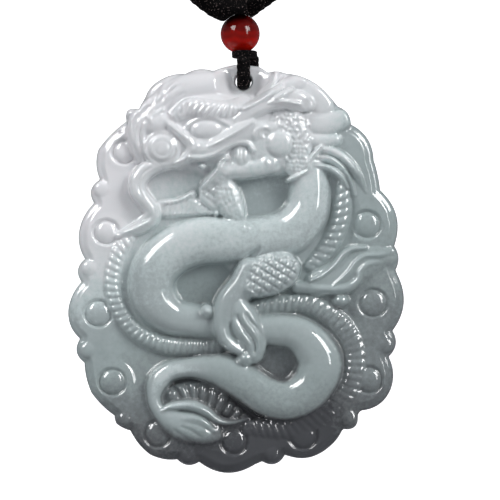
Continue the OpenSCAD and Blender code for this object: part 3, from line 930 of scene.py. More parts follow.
COMB_COIL = [
    [256, 308, 8, 0.38], [285, 304, 9, 0.39], [306, 304, 9.5, 0.39], [326, 313, 10, 0.39],
    [344, 328, 10.5, 0.38], [355, 349, 10.5, 0.37], [355, 372, 10.5, 0.37], [348, 391, 10.5, 0.37],
    [333, 407, 11, 0.37], [312, 421, 11, 0.37], [288, 430, 10.5, 0.37], [250, 428, 9, 0.36],
]
COMB_TAIL = [
    [170, 397, 10, 0.28], [190, 393, 12, 0.3], [210, 398, 12, 0.3], [232, 411, 8, 0.28],
    [250, 421, 4, 0.24],
]
CHIN_STRIP = [[160, 209, 9, 0.34], [178, 208, 9.5, 0.36], [195, 206, 9.5, 0.36], [214, 212, 4, 0.36]]
CHIN_BEADS = [[163, 203, 2.4, 0.42], [178, 200.5, 2.4, 0.42], [193, 194, 3, 0.44]]
CHIN_EDGE = [(162, 216.5), (185, 214), (213, 214)]
# Columns here and for the other mounds: x, y, half width, half height, top, foot.
COMB_END = (172, 395, 6, 6, 0.34, 0.2)


def carve_combs(stone):
    """Sinks the floors, then leaves the ribbed bands."""
    for x, y, half_w, half_h, floor, wall in HOLLOWS:
        stone.hollow(x, y, half_w, half_h, floor, wall)
    stone.strand(COMB_LEFT, 0.14, 3, ribs=(29, -0.14, 0.3, 0.1, 0.05))
    stone.strand(COMB_NECK, 0.16, 2, ribs=(11, 0, -0.45, -0.45, 0.05))
    stone.strand(COMB_COIL, 0.22, 2.2, ribs=(38, 0, 0.35, -0.5, 0.045))
    stone.strand(COMB_TAIL, 0.05, 3, ribs=(9, 0, -0.4, 0.1, 0.16))
    stone.mound(*COMB_END)
    stone.strand(CHIN_STRIP, 0.14, 4, ribs=(11, 0, 0.3, 0.3, 0.04))
    stone.strand(CHIN_BEADS, 0.3, ribs=(8, 0, 0, 0, 0.06))
    stone.line(CHIN_EDGE, 1.7, -0.04, 0.05)


carve_combs(carving)
print("deepest hollow", round(float(carving.level.min()), 2))

# %% [markdown]
# ## Body, tail and flame
#
# The body is one thick smooth strand in an S, in two stretches, which the foreleg covers where they
# meet. Its tuft is a leaf with grooves, and a flame licks up behind the elbow.

# %% Body
BODY_UPPER = [
    [309, 168, 20, 0.60], [310, 195, 21.5, 0.7], [305, 216, 23, 0.75], [288, 233, 24, 0.76],
    [260, 240, 24, 0.76], [230, 240, 24.5, 0.76], [200, 241, 24.5, 0.77], [174, 250, 24.5, 0.77],
    [156, 267, 24.5, 0.77], [151, 286, 24, 0.76], [157, 304, 22.5, 0.72], [172, 317, 19.5, 0.66],
    [190, 321, 18, 0.6], [220, 326, 17, 0.5],
]
BODY_LOWER = [
    [250, 330, 16, 0.56], [275, 330, 18, 0.66], [295, 333, 19, 0.72], [311, 345, 22, 0.76],
    [320, 365, 24.5, 0.77], [310, 388, 23.5, 0.77], [290, 400, 22, 0.76], [268, 397, 21.5, 0.75],
    [245, 382, 21, 0.71], [228, 373, 20, 0.66], [210, 368, 16, 0.6], [190, 367.5, 11.5, 0.56],
    [170, 371, 11.5, 0.55], [158, 381, 12.5, 0.54], [154, 394, 9.5, 0.52], [156, 406, 8.5, 0.52],
    [163, 416, 10, 0.52],
]
TUFT = [
    [156, 409, 7, 0.46], [166, 417, 12, 0.54], [180, 423, 18, 0.58], [195, 426, 20, 0.6],
    [208, 431, 15, 0.56], [216, 436, 8, 0.46],
]
TUFT_CREST = [
    [161, 411, 3.5, 0.56], [170, 406.5, 5, 0.6], [184, 405, 6, 0.64], [196, 406.5, 6.5, 0.66],
    [208, 412.5, 6, 0.62], [220, 421, 4.6, 0.54], [233, 422.5, 3.2, 0.46], [251, 418, 1.4, 0.36],
]
TUFT_GAP = [(176, 410), (186, 410.5), (198, 413), (209, 420), (218, 429)]
TUFT_RIDGE = [(181, 419), (192, 417.5), (203, 420.5), (212, 426.5)]
TUFT_LINES = [
    [(186, 422), (198, 425), (207, 429), (216, 436)], [(180, 426), (192, 431), (203, 438)],
    [(172, 428), (184, 436), (196, 443)],
]
FLAME_FLOOR = [[318, 284, 14, 0.42], [340, 276, 17, 0.44], [358, 266, 17, 0.42], [378, 258, 12, 0.36]]
FLAME_STEM = [
    [297, 287, 6, 0.46], [318, 288.5, 6, 0.5], [336, 289, 6.5, 0.52], [348, 287, 6.5, 0.53],
    [357, 280, 5, 0.52], [360, 271, 4.5, 0.5], [368, 264, 5, 0.46], [380, 262, 4, 0.38],
]
FLAME_LOW = [
    [310, 281, 3, 0.46], [320, 277, 4, 0.49], [333, 267, 4.2, 0.5], [344, 254, 4.2, 0.5],
    [353, 249, 3.6, 0.47], [366, 248, 2.6, 0.4],
]
FLAME_HIGH = [
    [334, 285, 3.6, 0.5], [342, 278, 4.2, 0.52], [350, 270, 4.2, 0.53], [355, 263, 4.2, 0.51],
    [365, 256, 4, 0.46], [380, 255, 5, 0.42], [391, 252, 5, 0.36],
]
FLAME_KNOB = (341, 300.5, 9, 7.5, 0.48, 0.2)


def carve_body(stone):
    """Body, then the tuft over its end, and the flame."""
    for rows in (BODY_UPPER, BODY_LOWER):
        stone.strand(rows, 0.0, 2.6)
    stone.strand(TUFT, 0.1, 2.4)
    stone.line(TUFT_GAP, 2.2, 0.07, 0.1)
    stone.line(TUFT_RIDGE, 2.0, -0.045)
    stone.lines(TUFT_LINES, 1.5, 0.04)
    stone.strand(TUFT_CREST, 0.2, 1.6, 0.6)
    stone.strand(FLAME_FLOOR, 0.2, 2.4, blend=0.1)
    stone.strand(FLAME_STEM, 0.3, 1.6, 0.7)
    for rows in (FLAME_LOW, FLAME_HIGH):
        stone.strand(rows, 0.3, 1.3, 0.8)
    stone.mound(*FLAME_KNOB, blend=0.06)


carve_body(carving)
print("body up to", round(float(carving.level.max()), 2))

# %% [markdown]
# ## Hair and mane
#
# A broad roll of hair lies over the brow and breaks up into strands left of the nose. Lobes and a fan of
# strands stream back from the head on the right.

# %% Hair
HAIR_ROLL = [
    [236, 86, 13, 0.26], [222, 86, 14, 0.38], [203, 86, 14.5, 0.48], [185, 89, 15, 0.52],
    [169, 97, 14, 0.54], [156, 108, 11, 0.54], [146, 121, 7, 0.5],
]
HAIR_THREADS = [
    [(152, 90), (148, 97), (146, 104)], [(168, 80), (161, 90), (157, 103)],
    [(176, 82), (169, 90), (166, 100)],
    [(151, 102), (139, 111), (132, 120), (131.5, 133), (136, 147), (140, 158)],
    [(146, 110), (139, 117), (136, 127)], [(155, 112), (146, 120), (142, 130)],
]
HAIR_LINES = [
    [(178, 79), (164, 87), (154, 98), (147, 110)], [(183, 84), (171, 91), (161, 101), (154, 112)],
    [(186, 92), (176, 98), (168, 107), (163, 114)],
]
HAIR_KNOB = (131, 113, 8, 6, 0.4, 0.1)
HAIR_FLOOR = [[158, 104, 12, 0.46], [146, 120, 13, 0.5], [141, 140, 10, 0.5], [144, 156, 8, 0.46]]
HAIR_STRANDS = [
    [[156, 98, 4, 0.48], [146, 106, 5, 0.54], [136, 117, 5.5, 0.54], [131, 131, 5, 0.54],
     [133, 147, 4, 0.5], [139, 161, 3, 0.44]],
    [[160, 104, 4, 0.54], [150, 112, 5, 0.6], [141, 122, 5, 0.6], [137, 134, 4.5, 0.6],
     [139, 148, 4, 0.56], [144, 160, 3, 0.5]],
    [[163, 110, 4, 0.6], [153, 117, 4.5, 0.64], [146, 126, 4.5, 0.64], [143, 137, 4, 0.62],
     [145, 150, 3, 0.56]],
]
TOP_STREAK = [[258, 95, 4, 0.46], [268, 89, 5, 0.52], [274, 82, 5, 0.52], [277, 73, 5, 0.44]]
LOBES = [
    [[300, 86, 10, 0.44], [314, 96, 14, 0.48], [322, 106, 13, 0.46]],
    [[308, 122, 11, 0.5], [325, 124, 13, 0.5], [341, 120, 11, 0.44]],
    [[308, 140, 7, 0.52], [322, 141, 7.5, 0.52], [335, 140, 7, 0.48]],
]
LOBE_ARC = [(303, 93.5), (309, 98), (311.5, 104), (307, 112)]
MANE_THREADS = [[(332, 153), (342, 157), (351, 166), (359, 178)], [(326, 168), (336, 173), (344, 182)]]
MANE = [
    [[317, 150, 5, 0.56], [334, 153, 6.5, 0.56], [348, 163, 6.5, 0.52], [358, 176, 5, 0.43],
     [365, 192, 3, 0.32]],
    [[315, 158, 4, 0.6], [330, 160, 5, 0.58], [341, 168, 5, 0.53], [349, 180, 4, 0.44],
     [354, 195, 3, 0.34]],
    [[316, 166, 4, 0.64], [330, 169, 4.4, 0.62], [340, 176, 4.4, 0.55], [347, 188, 3, 0.42]],
]


def carve_hair(stone):
    """The roll with its lines, the loose strands, and what streams back."""
    stone.strand(HAIR_ROLL, 0.12, 2.2, blend=0.08)
    stone.lines(HAIR_LINES, 1.6, 0.035)
    stone.mound(*HAIR_KNOB, turn=-30)
    stone.strand(HAIR_FLOOR, 0.2, 2.4, blend=0.1)
    for rows in HAIR_STRANDS:
        stone.strand(rows, 0.4, 1.8)
    stone.lines(HAIR_THREADS, 1.9, -0.045)
    stone.strand(TOP_STREAK, 0.1, 1.6, 0.7, blend=0.06)
    for rows in LOBES:
        stone.strand(rows, 0.26, 2.6, blend=0.05)
    stone.line(LOBE_ARC, 2.3, -0.055)
    for rows in MANE:
        stone.strand(rows, 0.2, 1.6, 0.6, lean=-0.3)
    stone.lines(MANE_THREADS, 2.6, -0.055)


carve_hair(carving)
print("mean level with the hair", round(float(carving.level.mean()), 3))

# %% [markdown]
# ## The head
#
# Broad masses run together first. Then come the snout with the round nose, the upper jaw with its sharp
# cheek ridge, the eye under a ribbed brow, the horn, the mouth with the tongue, and the round jaw joint in
# a field of fine curls.

# %% Masses, snout and brow
# Columns: x, y, half width, half height, top.
HEAD_MASSES = [
    [172, 142, 30, 27, 0.6], [205, 118, 46, 27, 0.64], [236, 136, 58, 38, 0.66], [272, 142, 40, 34, 0.64],
]
CURLS = [[280, 118, 11, 0.56], [293, 124, 16, 0.6], [299, 145, 15, 0.6], [295, 165, 13, 0.58]]
SNOUT_SIDE = (157, 124, 17, 12, 0.7, 0.3)
NOSE = (162, 148.5)
SNOUT = [
    [165, 121, 7, 0.68], [176, 130, 8.5, 0.73], [186, 138.5, 9, 0.77], [192, 145, 8, 0.78],
    [191, 152, 7, 0.75], [184, 159, 6, 0.7], [174, 164, 5, 0.63],
]
MUZZLE = [
    [196, 149, 10, 0.74], [212, 149, 10, 0.76], [228, 142, 10, 0.76], [243, 134, 11, 0.74],
    [259, 131, 12, 0.7], [272, 130, 10, 0.64],
]
CHEEK_RIDGE = [[209, 146, 3, 0.8], [222, 139, 5, 0.86], [238, 130, 5.4, 0.87], [252, 122, 3, 0.8]]
BROW = [
    [181, 113, 8, 0.77], [190, 108, 10, 0.8], [205, 109, 10, 0.8], [220, 110.5, 9.5, 0.78],
    [232, 108, 8.5, 0.74], [242, 102, 6.5, 0.68], [249, 98, 5, 0.6],
]
BROW_ARC = [(178, 112), (183, 104.5), (193, 100)]
# Columns of a hollow: x, y, half width, half height, floor.
EYE_SOCKET = (208, 129, 27, 13, 0.64)
EYE = (206, 129.3, 15, 8.5, 0.745, 0.62)
LID_UPPER = [(183, 131), (190, 124.5), (198, 120), (207, 118.3), (217, 119.5), (226, 123.5), (235, 129)]
LID_LOWER = [(183, 131), (191, 136.5), (200, 139.6), (210, 139.8), (220, 137), (228, 132.5), (235, 129)]
print("the eye is", round(2 * EYE[2] * STEP_X / MM, 1), "mm long")

# %% Horn, mouth and jaw
HORN = [
    [238, 120, 7, 0.66], [252, 111, 9, 0.74], [268, 103, 10, 0.78], [284, 99.5, 10.5, 0.77],
    [299, 101, 10.5, 0.72], [308, 105, 7, 0.6],
]
HORN_TOP = [[244, 108.5, 3, 0.8], [258, 101, 4.4, 0.86], [272, 93, 4.2, 0.84], [281, 87, 2.6, 0.76]]
HORN_BACK = [[275, 92, 7, 0.62], [288, 86, 9, 0.6], [301, 82, 9, 0.5]]
HORN_FORKS = [
    [[269, 103, 3, 0.84], [280, 96, 4.2, 0.86], [292, 90.5, 2.6, 0.78]],
    [[270, 102.5, 3, 0.84], [286, 101.5, 4, 0.86], [300, 104, 2.6, 0.78]],
]
LIP = [
    [190, 157.5, 3, 0.79], [203, 157.5, 3.4, 0.8], [215, 154, 3.4, 0.8], [227, 147, 3.4, 0.8],
    [238, 143, 3.2, 0.78], [248, 144, 3, 0.76], [253, 151, 2.6, 0.74],
]
JAW = [
    [214, 178, 7, 0.62], [224, 171, 9, 0.68], [238, 170, 9, 0.68], [254, 169, 9, 0.68],
    [270, 163, 11, 0.64],
]
LOWER_LIP = [
    [227, 157.5, 2, 0.74], [220.5, 162.5, 2.8, 0.78], [218, 170, 2.8, 0.78], [213, 176.5, 2.8, 0.74],
    [203, 187, 2, 0.64],
]
MOUTH = (203, 165, 13, 6.5, 0.42)
TOOTH = (202, 166.5, 4.5, 2.6, 0.62, 0.4)
THROAT = (238, 155, 15, 13, 0.52)
TONGUE = (241, 157, 10, 12, 0.73, 0.5)
TONGUE_LINES = [[(237, 150), (235, 157), (237, 165)], [(243, 148), (242.5, 156), (244, 165)]]
MOUTH_CORNER = [(257, 153), (253, 162), (246, 168)]
JAW_STREAK = [(264, 157.5), (266.5, 162), (269.5, 166.5)]
JAW_JOINT = (279.5, 144)
EAR = (263, 132, 8.5, 8.5, 0.74, 0.55)
EAR_HOLLOW = (266, 133.5, 6, 6, 0.62)
SKIN_EDGE = [
    [321, 147, 2.6, 0.7], [313, 156, 3, 0.72], [309, 162, 3, 0.72], [308, 170, 3, 0.72],
    [299, 175.5, 3, 0.7], [288, 180, 2.4, 0.66],
]
FACE_THREADS = [
    [(190, 136), (197, 144), (193, 153)], [(169, 124), (180, 134), (187, 139)],
    [(184, 162), (181, 166), (177, 170)], [(256, 141), (255, 134), (260, 127.5), (266, 125.5)],
    [(226, 158), (230, 161), (235, 166)], [(213, 176.5), (207, 183), (200, 191)],
    [(217, 184), (211, 189), (204, 194)], [(146, 114), (150, 119), (153, 125)],
    [(145, 141), (142, 148), (144, 156)], [(170, 137), (175, 143), (176, 150)],
    [(212, 147), (224, 140), (236, 132.5), (249, 123.5)], [(246, 106), (256, 101), (266, 96), (273, 90)],
    [(274, 98.5), (279, 96), (286, 93)], [(275, 99.5), (286, 102), (299, 103.5)],
]
print("face threads:", len(FACE_THREADS))

# %% Carve the head
def carve_head(stone):
    """From the broad masses to the fine edges."""
    for x, y, half_w, half_h, top in HEAD_MASSES:
        stone.mound(x, y, half_w, half_h, top, 0.1, square=2.6, blend=0.1)
    stone.strand(CURLS, 0.2, 2.6, blend=0.06)
    stone.stipple(CURLS, 3.8, 0.05)
    stone.mound(*SNOUT_SIDE, turn=-25, blend=0.05)
    stone.strand(SNOUT, 0.3, 1.5, 0.7, blend=0.05)
    stone.strand(MUZZLE, 0.35, 2.6, blend=0.08)
    stone.strand(HORN_BACK, 0.2, 2.4, blend=0.05)
    stone.strand(HORN, 0.4, 4, blend=0.05)
    stone.strand(BROW, 0.5, 2.8, ribs=(13, -0.25, 0.5, 0.7, 0.06))
    stone.line(BROW_ARC, 2.0, -0.045)
    stone.hollow(*EYE_SOCKET, wall=0.5, turn=-3, square=1.8)
    stone.mound(*EYE, turn=-3, square=2.2, blend=0.01)
    stone.line(LID_UPPER, 1.8, -0.06, 0.05)
    stone.line(LID_LOWER, 1.8, -0.055, 0.05)
    for rows in [CHEEK_RIDGE, HORN_TOP, *HORN_FORKS]:
        stone.strand(rows, 0.7, 1.2, 1.0, lean=0.3, blend=0.01)
    stone.hollow(*MOUTH, wall=0.4, turn=4, square=2)
    stone.mound(*TOOTH, turn=15)
    stone.hollow(*THROAT, wall=0.4, square=2)
    stone.strand(JAW, 0.35, 2.4, blend=0.05)
    stone.mound(*TONGUE)
    stone.lines(TONGUE_LINES, 1.2, 0.035)
    stone.strand(LIP, 0.6, 1.6, 0.7)
    stone.strand(LOWER_LIP, 0.5, 1.3, 0.8)
    stone.line(MOUTH_CORNER, 2.0, -0.045)
    stone.line(JAW_STREAK, 2.0, -0.05)
    stone.ring(*JAW_JOINT, 13.5, 2.2, 0.03)
    stone.mound(*JAW_JOINT, 12.5, 12.5, 0.74, 0.62)
    stone.mound(*EAR)
    stone.hollow(*EAR_HOLLOW, wall=0.5, square=2)
    stone.mound(*NOSE, 19, 18, 0.7, 0.58, square=3, blend=0.06)
    stone.ring(*NOSE, 14, 1.6, 0.05)
    stone.mound(*NOSE, 12.5, 12.5, 0.755, 0.66, square=2.6, blend=0.01)
    stone.ring(162.5, 148.5, 7.5, 1.2, 0.025)
    stone.ring(*NOSE, 17.5, 1.2, 0.035, -10, 60)
    stone.strand(SKIN_EDGE, 0.5, 1.2, 0.9)
    stone.lines(FACE_THREADS, 2.0, -0.046)


carve_head(carving)
print("head up to", round(float(carving.level.max()), 2))

# %% [markdown]
# ## Beard and moustache
#
# The moustache curls down on the left in one flat lock, and a stippled beard points down over the neck.

# %% Beard and moustache
BEARD = [
    [224, 182, 9, 0.54], [226, 194, 14, 0.57], [231, 206, 13, 0.58], [237, 217, 9, 0.55],
    [243, 225, 6, 0.5], [249, 232, 2.5, 0.44],
]
BEARD_EDGE = [(241, 207), (243.5, 217), (246, 224), (251, 229)]
CHIN = [[221, 177, 10, 0.58], [213, 186, 12, 0.53], [211, 197, 11, 0.49], [220, 208, 8, 0.44]]
CHIN_LINES = [
    [(213, 177), (206, 184), (199, 191)], [(218, 183), (211, 189), (204, 195)],
    [(196, 190), (208, 199), (220, 208)], [(203, 188), (214, 197), (224, 205)],
    [(193, 196), (204, 205), (214, 212)],
]
CHIN_KNOB = (216.5, 213.5, 2.8, 2.8, 0.5, 0.3)
MOUSTACHE = [
    [174, 164, 4, 0.58], [158, 165, 7.5, 0.62], [146, 170, 9, 0.64], [138, 180, 9, 0.65],
    [138, 191, 9, 0.65], [145, 201, 8.5, 0.63], [152, 210, 8.5, 0.61], [151, 219, 8.5, 0.57],
    [142, 226, 7.5, 0.51], [130, 231, 6, 0.44], [118, 236, 4, 0.36],
]
MOUSTACHE_LINES = [
    [(152, 167), (142, 175), (139, 187), (143, 197)], [(150, 198), (156, 206), (157, 214)],
    [(152, 215), (141, 223), (124, 230)],
]
MOUSTACHE_THREADS = [
    [(147, 163), (136, 170), (131, 181), (132, 192), (139, 201)], [(151, 220), (139, 226), (121, 234)],
]


def carve_beard(stone):
    """The chin and its lines, the beard over the neck, then the moustache."""
    stone.strand(CHIN, 0.25, 2.4, blend=0.06)
    stone.lines(CHIN_LINES, 1.3, 0.05)
    stone.strand(BEARD, 0.3, 3.0, hairs=(6, 0.03))
    stone.stipple(BEARD, 3.0, 0.035, long=1.7, turn=60)
    stone.line(BEARD_EDGE, 2.0, -0.045)
    stone.mound(*CHIN_KNOB)
    stone.strand(MOUSTACHE, 0.2, 2.6)
    stone.lines(MOUSTACHE_LINES, 1.5, 0.05)
    stone.lines(MOUSTACHE_THREADS, 2.0, -0.045)


carve_beard(carving)
print("mean level with the beard", round(float(carving.level.mean()), 3))

# %% [markdown]
# ## Foreleg
#
# Last of all comes the foreleg, the highest form: a scaled shoulder, a limb with a sharp edge, and toes
# that bend round a round claw.

# %% Foreleg
SHOULDER = [[250, 283, 15, 0.85], [262, 277, 20, 0.87], [277, 271, 21, 0.87], [288, 268, 13, 0.84]]
SHOULDER_NOTCH = [(262, 247), (252, 254), (245, 261), (236, 268)]
LIMB = [
    [250, 272, 15, 0.86], [242, 287, 15, 0.88], [231, 301, 15, 0.88], [226, 314, 14, 0.87],
    [225, 327, 13, 0.85], [231, 340, 11, 0.81], [240, 348, 8, 0.76],
]
PAW = [
    [238, 306, 11, 0.8], [243, 318, 15, 0.82], [248, 331, 16.5, 0.82], [252, 343, 15, 0.8],
    [254, 354, 10, 0.74],
]
TOE_GAPS = [
    [(229, 322), (232, 334), (241, 341), (246, 347), (246, 354)],
    [(236, 314), (243, 326), (250, 335), (255, 344), (254, 354)],
    [(245, 312), (250, 321), (258, 330), (262, 340), (261, 350)],
]
TOE_RIDGES = [
    [(232, 318), (237, 330), (246, 338), (251, 347), (250, 355)],
    [(241, 312), (247, 323), (254, 332), (259, 342), (257, 353)],
]
CLAW = (245.5, 358, 9.5, 9, 0.8, 0.3)
HEEL = (207, 311, 7.5, 7.5, 0.8, 0.4)
ELBOW_LINE = [(244, 285), (250, 290), (257, 296.5)]
SCALE_PITCH = 7.5
SCALE_TURN = 32


def carve_scales(stone, rows, depth):
    """A lattice of grooves over a strand's place: |sin| of both turned coordinates, the lower of the two."""
    part, (share, *_), _ = stone.follow(rows)
    u, v = turned(stone.x[part], stone.y[part], SCALE_TURN)
    cross = np.minimum(np.abs(np.sin(np.pi * u / SCALE_PITCH)), np.abs(np.sin(np.pi * v / SCALE_PITCH)))
    stone.level[part] -= depth * (1 - np.clip(cross * 1.7, 0, 1)) * smooth((0.92 - share) / 0.15)


def carve_foreleg(stone):
    """The shoulder with its scales, the paw, the limb over both, and the toes."""
    stone.line(SHOULDER_NOTCH, 3.0, 0.16, 0.3)
    stone.strand(SHOULDER, 0.4, 4.0)
    carve_scales(stone, SHOULDER, 0.08)
    stone.strand(PAW, 0.35, 3.0)
    stone.strand(LIMB, 0.35, 1.8, 0.6, lean=0.5)
    stone.line(ELBOW_LINE, 1.8, -0.06)
    stone.lines(TOE_GAPS, 2.0, 0.1, 0.15)
    stone.lines(TOE_RIDGES, 2.0, -0.05)
    stone.mound(*CLAW)
    stone.mound(*HEEL)


carve_foreleg(carving)
print("foreleg up to", round(float(carving.level.max()), 2))

# %% [markdown]
# ## The place of the cord
#
# Round the hole and above it the stone is bare, so that the strand can swing in front of it. Then
# the whole front is softened a little, as polishing softens a carved edge.

# %% Bare place and polish
BARE_LOW, BARE_HIGH = 80, 56
BARE_HALF, BARE_MORE, BARE_FADE = 10, 7, 20
POLISH = 0.8


def bare(stone):
    """Lowers the levels round the hole and up to the top edge, with a smooth rim."""
    t = np.clip((BARE_LOW - stone.y) / (BARE_LOW - BARE_HIGH), 0, 1)
    from_middle = np.hypot(stone.x - HOLE_AT[0], stone.y - (BARE_LOW + (BARE_HIGH - BARE_LOW) * t))
    stone.level *= smooth((from_middle - BARE_HALF - BARE_MORE * t) / BARE_FADE)


def soften(a, sigma):
    """Gaussian blur: a sum of shifted copies with weights exp(-k^2 / 2 sigma^2), along both ways."""
    reach = int(np.ceil(3 * sigma))
    weights = np.exp(-(np.arange(-reach, reach + 1) ** 2) / (2 * sigma**2))
    weights /= weights.sum()
    for axis in (0, 1):
        padded = np.pad(a, [(reach, reach) if k == axis else (0, 0) for k in (0, 1)], mode="edge")
        a = sum(w * np.take(padded, np.arange(a.shape[axis]) + k, axis=axis) for k, w in enumerate(weights))
    return a


bare(carving)
levels = soften(carving.level, POLISH)
print("levels from", round(float(levels.min()), 3), "to", round(float(levels.max()), 3))

# %% [markdown]
# ## From levels to stone
#
# A square grid of points is stretched to a disc and the disc to the scalloped outline, so that its
# outer row lies exactly on the edge, and each point reads its level from the raster.

# %% Stone
CELLS_X, CELLS_Y = 268, 300
ROUND_OFF = 4.0
ROUND_DEPTH = 0.6 * MM
MEAN_REACH = 190
# Columns: share of the outline, depth from the rim's face, 0, to the back, 1.
BACK_RINGS = [
    (1.0, 0.55), (0.999, 0.8), (0.992, 0.93), (0.98, 0.985), (0.96, 1.0), (0.955, 1.0), (0.6, 1.0),
]
DRILL_SIDES = 64
MOUTH_DEPTH, MOUTH_FLARE = 0.5 * MM, 0.22 * MM


def read(raster, x, y):
    """Bilinear reading of a raster at places of the drawing grid."""
    u = np.clip((x - LEFT) / RASTER, 0, raster.shape[1] - 1.001)
    v = np.clip((y - TOP) / RASTER, 0, raster.shape[0] - 1.001)
    i, j = u.astype(int), v.astype(int)
    s, t = u - i, v - j
    low_row = raster[j, i] * (1 - s) + raster[j, i + 1] * s
    high_row = raster[j + 1, i] * (1 - s) + raster[j + 1, i + 1] * s
    return low_row * (1 - t) + high_row * t


def outline_reach(points):
    """Distance from the middle to the outline for any direction, by interpolation over its angle."""
    d = np.stack([points[:, 0] - MID[0], MID[1] - points[:, 1]], 1)
    angle, far = np.arctan2(d[:, 1], d[:, 0]), np.hypot(d[:, 0], d[:, 1])
    order = np.argsort(angle)
    angle, far = angle[order], far[order]
    return np.r_[angle - 2 * np.pi, angle, angle + 2 * np.pi], np.tile(far, 3)


REACH = outline_reach(outline_points(24))


def spots(u, v):
    """Square to disc, (u sqrt(1 - v^2/2), v sqrt(1 - u^2/2)), then disc to outline by its reach."""
    a, b = u * np.sqrt(1 - v * v / 2), v * np.sqrt(1 - u * u / 2)
    far = np.interp(np.arctan2(b, a), *REACH)
    return MID[0] + far * a, MID[1] - far * b, np.hypot(a, b)


def front_depth(x, y, rho):
    """Y of the front: -face - relief * level, rounded off to the rim within a few steps of the edge."""
    inside = np.clip((1 - rho) * MEAN_REACH / ROUND_OFF, 0, 1)
    drop = ROUND_DEPTH * (1 - np.sqrt(1 - (1 - inside) ** 2))
    return -FACE - RELIEF * read(levels, x, y) + drop


print("outline from", int(REACH[1].min()), "to", int(REACH[1].max()), "steps from the middle")

# %% [markdown]
# The front is one grid of points. Its outer row is the rim, and rings of the same points, each a little
# smaller, go down the side and over the back, which closes the stone.

# %% Points and faces
def stone_points():
    """Front grid, then rings down the side and over the back, then the back's middle."""
    u, v = np.meshgrid(np.linspace(-1, 1, CELLS_X + 1), np.linspace(-1, 1, CELLS_Y + 1))
    x, y, rho = spots(u, v)
    front = np.stack([grid_x(x), front_depth(x, y, rho), grid_z(y)], 2)
    number = np.arange(x.size).reshape(x.shape)
    rim = np.concatenate([number[0, :-1], number[:-1, -1], number[-1, :0:-1], number[:0:-1, 0]])
    ur, vr = u.ravel()[rim], v.ravel()[rim]
    edge_x, edge_y, _ = spots(ur, vr)
    rings = [front.reshape(-1, 3)]
    for share, depth in BACK_RINGS:
        a, b = MID[0] + (edge_x - MID[0]) * share, MID[1] + (edge_y - MID[1]) * share
        rings.append(np.stack([grid_x(a), FACE * (2 * depth - 1) + 0 * a, grid_z(b)], 1))
    rings.append(np.array([[grid_x(MID[0]), FACE, grid_z(MID[1])]]))
    return np.vstack(rings), number, rim


def stone_faces(number, rim):
    """Front cells, a band between each ring and the next, and a fan over the back."""
    count = len(BACK_RINGS)
    a, b, c, d = number[:-1, :-1], number[:-1, 1:], number[1:, 1:], number[1:, :-1]
    faces = [np.stack([a.ravel(), b.ravel(), c.ravel(), d.ravel()], 1)]
    ring = rim
    for k in range(count):
        below = number.size + k * len(rim) + np.arange(len(rim))
        faces.append(np.stack([ring, below, np.roll(below, -1), np.roll(ring, -1)], 1))
        ring = below
    faces.append(fan(ring, number.size + count * len(rim), flip=True))
    return faces


points, number, rim = stone_points()
faces = stone_faces(number, rim)
print("front points:", number.size, "rim points:", len(rim))

# %% [markdown]
# The hole is drilled with a turned cutter and a Boolean, as a carver drills the finished stone. The
# cutter is wider at both mouths, so the edge that the cord lies on is rounded.

# %% Drill
def flare(z):
    """Radius of the drill: the hole's, and wider towards both faces like a polished mouth."""
    return HOLE_R + MOUTH_FLARE * np.clip((np.abs(z) - FACE + MOUTH_DEPTH) / MOUTH_DEPTH, 0, 8) ** 2


def drill(stone, material):
    """Takes the hole out of the stone with a turned cutter: rings of radius flare(z) along the hole."""
    mouth = np.linspace(1.3, 4, 8)
    z = np.concatenate([-mouth[::-1], np.linspace(-1.2, 1.2, 5), mouth]) * MM
    r = np.minimum(flare(z), HOLE_R + MOUTH_DEPTH)
    turn = 2 * np.pi * np.arange(DRILL_SIDES) / DRILL_SIDES
    rings = np.stack([
        r[:, None] * np.cos(turn), np.broadcast_to(z[:, None], (len(z), DRILL_SIDES)),
        HOLE_Z + r[:, None] * np.sin(turn),
    ], 2)
    cutter = add_tube("drill", rings[::-1], material, z)
    change = stone.modifiers.new("drill", "BOOLEAN")
    change.operation, change.solver, change.object = "DIFFERENCE", "EXACT", cutter
    graph = bpy.context.evaluated_depsgraph_get()
    stone.data = bpy.data.meshes.new_from_object(stone.evaluated_get(graph))
    stone.modifiers.clear()
    bpy.data.objects.remove(cutter)


print("radius of the hole's mouth in mm:", round(float(flare(FACE)) / MM, 2))

# %% [markdown]
# ## Jade
#
# Jade is hard, takes a glassy polish and lets light a little way in, so that edges glow and shadows are
# soft. Its colour drifts from a cool, almost lavender white at the top left to a grey green lower right,
# with faint clouds; the drift is partly the stone's own and partly painted light at the top left and
# painted shade at the lower right. The border is darker than the body and its painted light and shade
# are stronger, the hollows get painted shade, and near the left and right edges the border gets more
# painted light and shade, set against the lamps. Subsurface scattering does the glow. The colour is a
# ramp over a sum of a slope across the plaque, how deep the stone is cut, and three sizes of noise, all
# read from object coordinates. The colour is paler round the tail.

# %% Jade material
TILT = 0.35
SLOPE_LENGTH = 70 * MM
RIGHT_FROM, LEFT_FROM, SIDE_FADE = 11 * MM, -13 * MM, 6 * MM
PALE_AT = (172, 386)
PALE_REACH = 6.5 * MM


